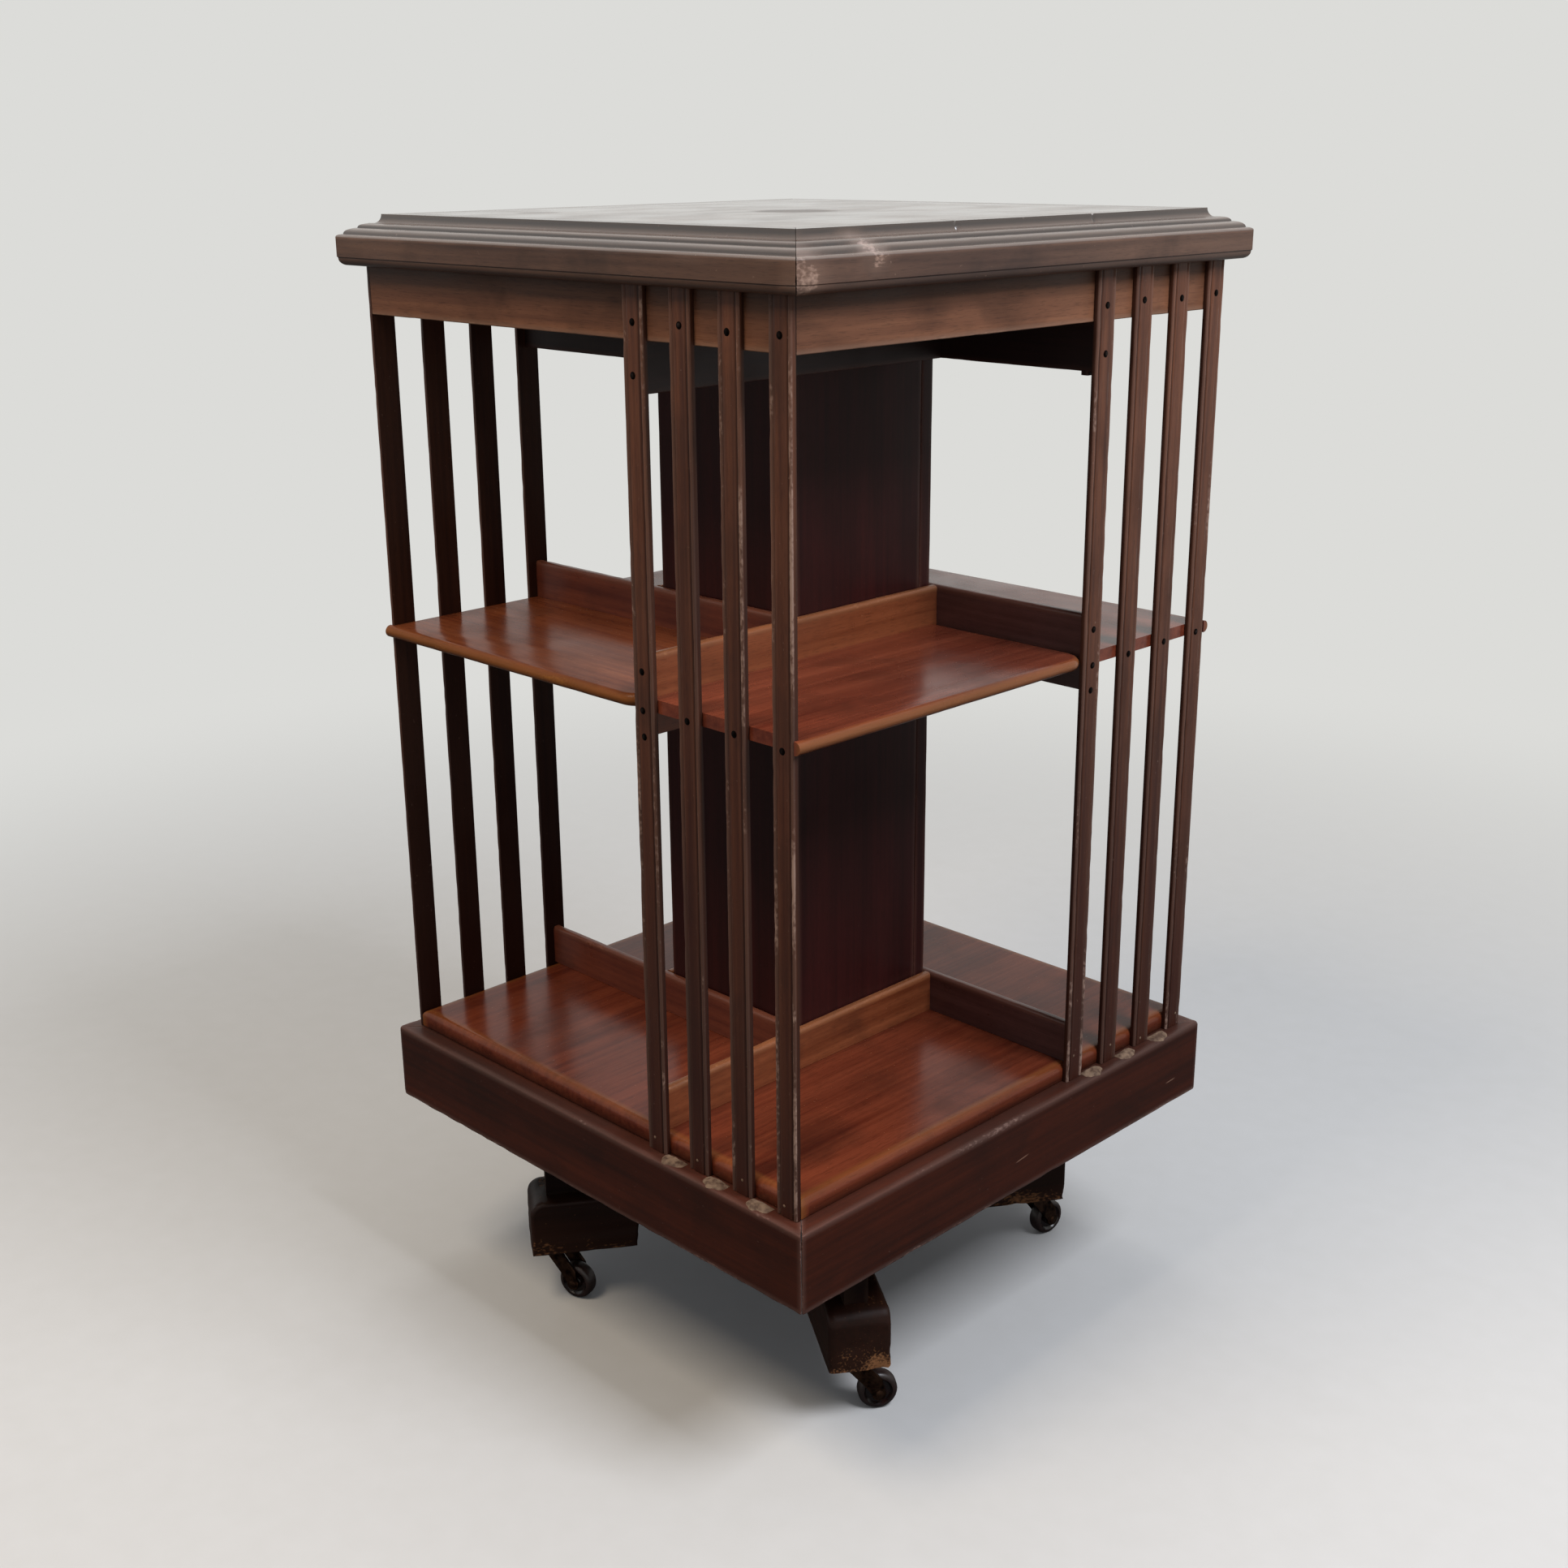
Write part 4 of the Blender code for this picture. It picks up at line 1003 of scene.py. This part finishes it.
for k, (side, turn) in enumerate(zip(SIDES, quarter_turns)):
    splits = [y / crest for y in SPLITS.get(side, ())]
    lips = [s + d / crest for s in splits for d in (-SPLIT_HALF, SPLIT_HALF)]
    rings = []
    for share in sorted(spread(-1, 1, 0.035) + splits + lips):
        ring = []
        for x, z, r in profile:
            y = share * (x - MITRE_GAP)
            for along, height, reach in BRUISES.get(side, ()):
                apart = math.dist((y, z), (along, height)) / reach
                r = max(r, BRUISE_RUB * min(1.0, 2 - 2 * apart))
            split = share in splits and z > level + 0.001
            ring.append((x, y, z - SPLIT_DEPTH if split else z, -1.0 if split else r))
        rings.append(ring)
    bm = bmesh.new()
    loft(bm, rings, turn, copy=k)
    border = piece(f"top_border_{side}", bm, border_mahogany, "case", ("top_board",), knock=0.0011)
    border.data.materials.append(reed_mahogany)
    for face in border.data.polygons:
        face.material_index = 1 if face.center.z > low.z + TOP_FASCIA else 0

half = PANEL_HALF - MITRE_GAP
rings = []
for draw, z in ((0.0004, low.z), (0.0, low.z + 0.0004), (0.0, high.z - 0.0003), (0.0003, high.z)):
    edge = half - draw
    corners = [(edge, -edge), (edge, edge), (-edge, edge), (-edge, -edge)]
    rings.append([(x, y, z, 0.0) for x, y in corners])
bm = bmesh.new()
loft(bm, rings)
piece("top_panel", bm, panel_mahogany, "case", ("top_board",))


# Studio
# A plain pale floor that runs out to a pale backdrop, and soft lamps above and to both sides.
# The camera stands where the photograph was taken from.

PALE = "#dcdcd9"
BACKDROP_FROM = 0.6
BACKDROP_TO = 3.0
DIM_LEFT = 0.2
DIM_SPAN = (-0.8, 0.5)
LAMPS_AIM = Vector((0, 0, 0.45))
CAMERA_PLACE = (1.0150, -1.0210, 0.9000)
CAMERA_YAW = math.radians(45.24)
CAMERA_PITCH = math.radians(-18.27)
CAMERA_ROLL = math.radians(0.46)
FRAME_SIDE = 1932
FOCAL_PIXELS = 2410.7
SENSOR = 36.0

# Matt paint with a faint speckle. The camera sees it pale, and it throws little light up at the object.
floor_paint = bpy.data.materials.new("pale_floor_paint")
floor_paint.use_nodes = True
tree = floor_paint.node_tree
shader = tree.nodes["Principled BSDF"]
place = add(tree, "TexCoord").outputs["Object"]
speckle = add(tree, "TexNoise", {"Vector": place, "Scale": 1 / 0.025, "Detail": 3.0}).outputs["Fac"]
tone = {0: speckle, 6: linear("#cbcac6"), 7: linear("#d0cfcc")}
tone = add(tree, "Mix", tone, data_type="RGBA").outputs[2]
rays = add(tree, "LightPath")
shown = {0: rays.outputs["Is Camera Ray"], 1: rays.outputs["Is Glossy Ray"]}
shown = add(tree, "Math", shown, operation="MAXIMUM").outputs[0]
tone = {0: rays.outputs["Is Camera Ray"], 6: linear("#5a5958"), 7: tone}
tone = add(tree, "Mix", tone, data_type="RGBA").outputs[2]
tree.links.new(tone, shader.inputs["Base Color"])
shader.inputs["Roughness"].default_value = 0.85
distance = add(tree, "VectorMath", {0: place}, operation="LENGTH").outputs["Value"]
nearer = {0: rays.outputs["Is Camera Ray"], 1: -1.0, 2: BACKDROP_TO}
nearer = add(tree, "Math", nearer, operation="MULTIPLY_ADD").outputs[0]
away = {"Value": distance, "From Min": BACKDROP_FROM, "From Max": nearer}
away = add(tree, "MapRange", away, interpolation_type="SMOOTHSTEP").outputs["Result"]
seen = add(tree, "Math", {0: shown, 1: away}, operation="MULTIPLY").outputs[0]
# In reflections the floor is dimmer on the left, away from the stronger lamp.
rightward = {0: place, 1: (math.sqrt(0.5), math.sqrt(0.5), 0.0)}
rightward = add(tree, "VectorMath", rightward, operation="DOT_PRODUCT").outputs["Value"]
rightward = add(tree, "Math", {0: rightward, 1: distance}, operation="DIVIDE").outputs[0]
lit = {"Value": rightward, "From Min": DIM_SPAN[0], "From Max": DIM_SPAN[1], "To Min": DIM_LEFT}
lit = add(tree, "MapRange", lit, interpolation_type="SMOOTHSTEP").outputs["Result"]
lit = add(tree, "Math", {0: lit, 1: rays.outputs["Is Camera Ray"]}, operation="MAXIMUM").outputs[0]
seen = add(tree, "Math", {0: seen, 1: lit}, operation="MULTIPLY").outputs[0]
glow = add(tree, "Emission", {"Color": linear(PALE), "Strength": 1.0}).outputs[0]
mixed = add(tree, "MixShader", {0: seen, 1: shader.outputs[0], 2: glow}).outputs[0]
tree.links.new(mixed, tree.nodes["Material Output"].inputs["Surface"])
bm = bmesh.new()
bmesh.ops.create_circle(bm, cap_ends=True, segments=96, radius=40.0)
mesh = bpy.data.meshes.new("floor")
bm.to_mesh(mesh)
bm.free()
mesh.materials.append(floor_paint)
floor = bpy.data.objects.new("floor", mesh)
bpy.context.scene.collection.objects.link(floor)

world = bpy.data.worlds.new("pale_studio")
world.use_nodes = True
bpy.context.scene.world = world
tree = world.node_tree
rays = add(tree, "LightPath")
seen = {0: rays.outputs["Is Camera Ray"], 1: rays.outputs["Is Glossy Ray"]}
seen = add(tree, "Math", seen, operation="MAXIMUM").outputs[0]
clear = {0: seen, 1: rays.outputs["Is Transmission Ray"]}
clear = add(tree, "Math", clear, operation="MAXIMUM").outputs[0]
ambient = add(tree, "Background", {"Color": linear("#ebf0fa"), "Strength": 0.31}).outputs[0]
backdrop = add(tree, "Background", {"Color": linear(PALE), "Strength": 1.0}).outputs[0]
mixed = add(tree, "MixShader", {0: clear, 1: ambient, 2: backdrop}).outputs[0]
tree.links.new(mixed, tree.nodes["World Output"].inputs["Surface"])

for name, place, size, power, tint in (
    ("lamp_right", (1.55, 0.10, 2.25), 0.9, 50.0, "#f1f5ff"),
    ("lamp_left", (-0.15, -1.40, 2.5), 0.9, 33.0, "#ffeed9"),
    ("lamp_over", (-0.3, 0.3, 2.8), 1.2, 14.0, "#ffffff"),
):
    lamp = bpy.data.lights.new(name, "AREA")
    lamp.size = size
    lamp.energy = power
    lamp.color = linear(tint)[:3]
    light = bpy.data.objects.new(name, lamp)
    light.location = place
    light.rotation_euler = (LAMPS_AIM - Vector(place)).to_track_quat("-Z", "Y").to_euler()
    bpy.context.scene.collection.objects.link(light)

forward = Vector((
    -math.sin(CAMERA_YAW) * math.cos(CAMERA_PITCH),
    math.cos(CAMERA_YAW) * math.cos(CAMERA_PITCH),
    math.sin(CAMERA_PITCH),
))
level = forward.cross(Vector((0, 0, 1))).normalized()
down = forward.cross(level)
right = level * math.cos(CAMERA_ROLL) + down * math.sin(CAMERA_ROLL)
up = right.cross(forward)
lens = bpy.data.cameras.new("camera")
lens.sensor_width = SENSOR
lens.lens = SENSOR * FOCAL_PIXELS / FRAME_SIDE
camera = bpy.data.objects.new("camera", lens)
camera.matrix_world = Matrix.Translation(CAMERA_PLACE) @ Matrix((right, up, -forward)).transposed().to_4x4()
bpy.context.scene.collection.objects.link(camera)
bpy.context.scene.camera = camera
bpy.context.scene.view_settings.view_transform = "Standard"
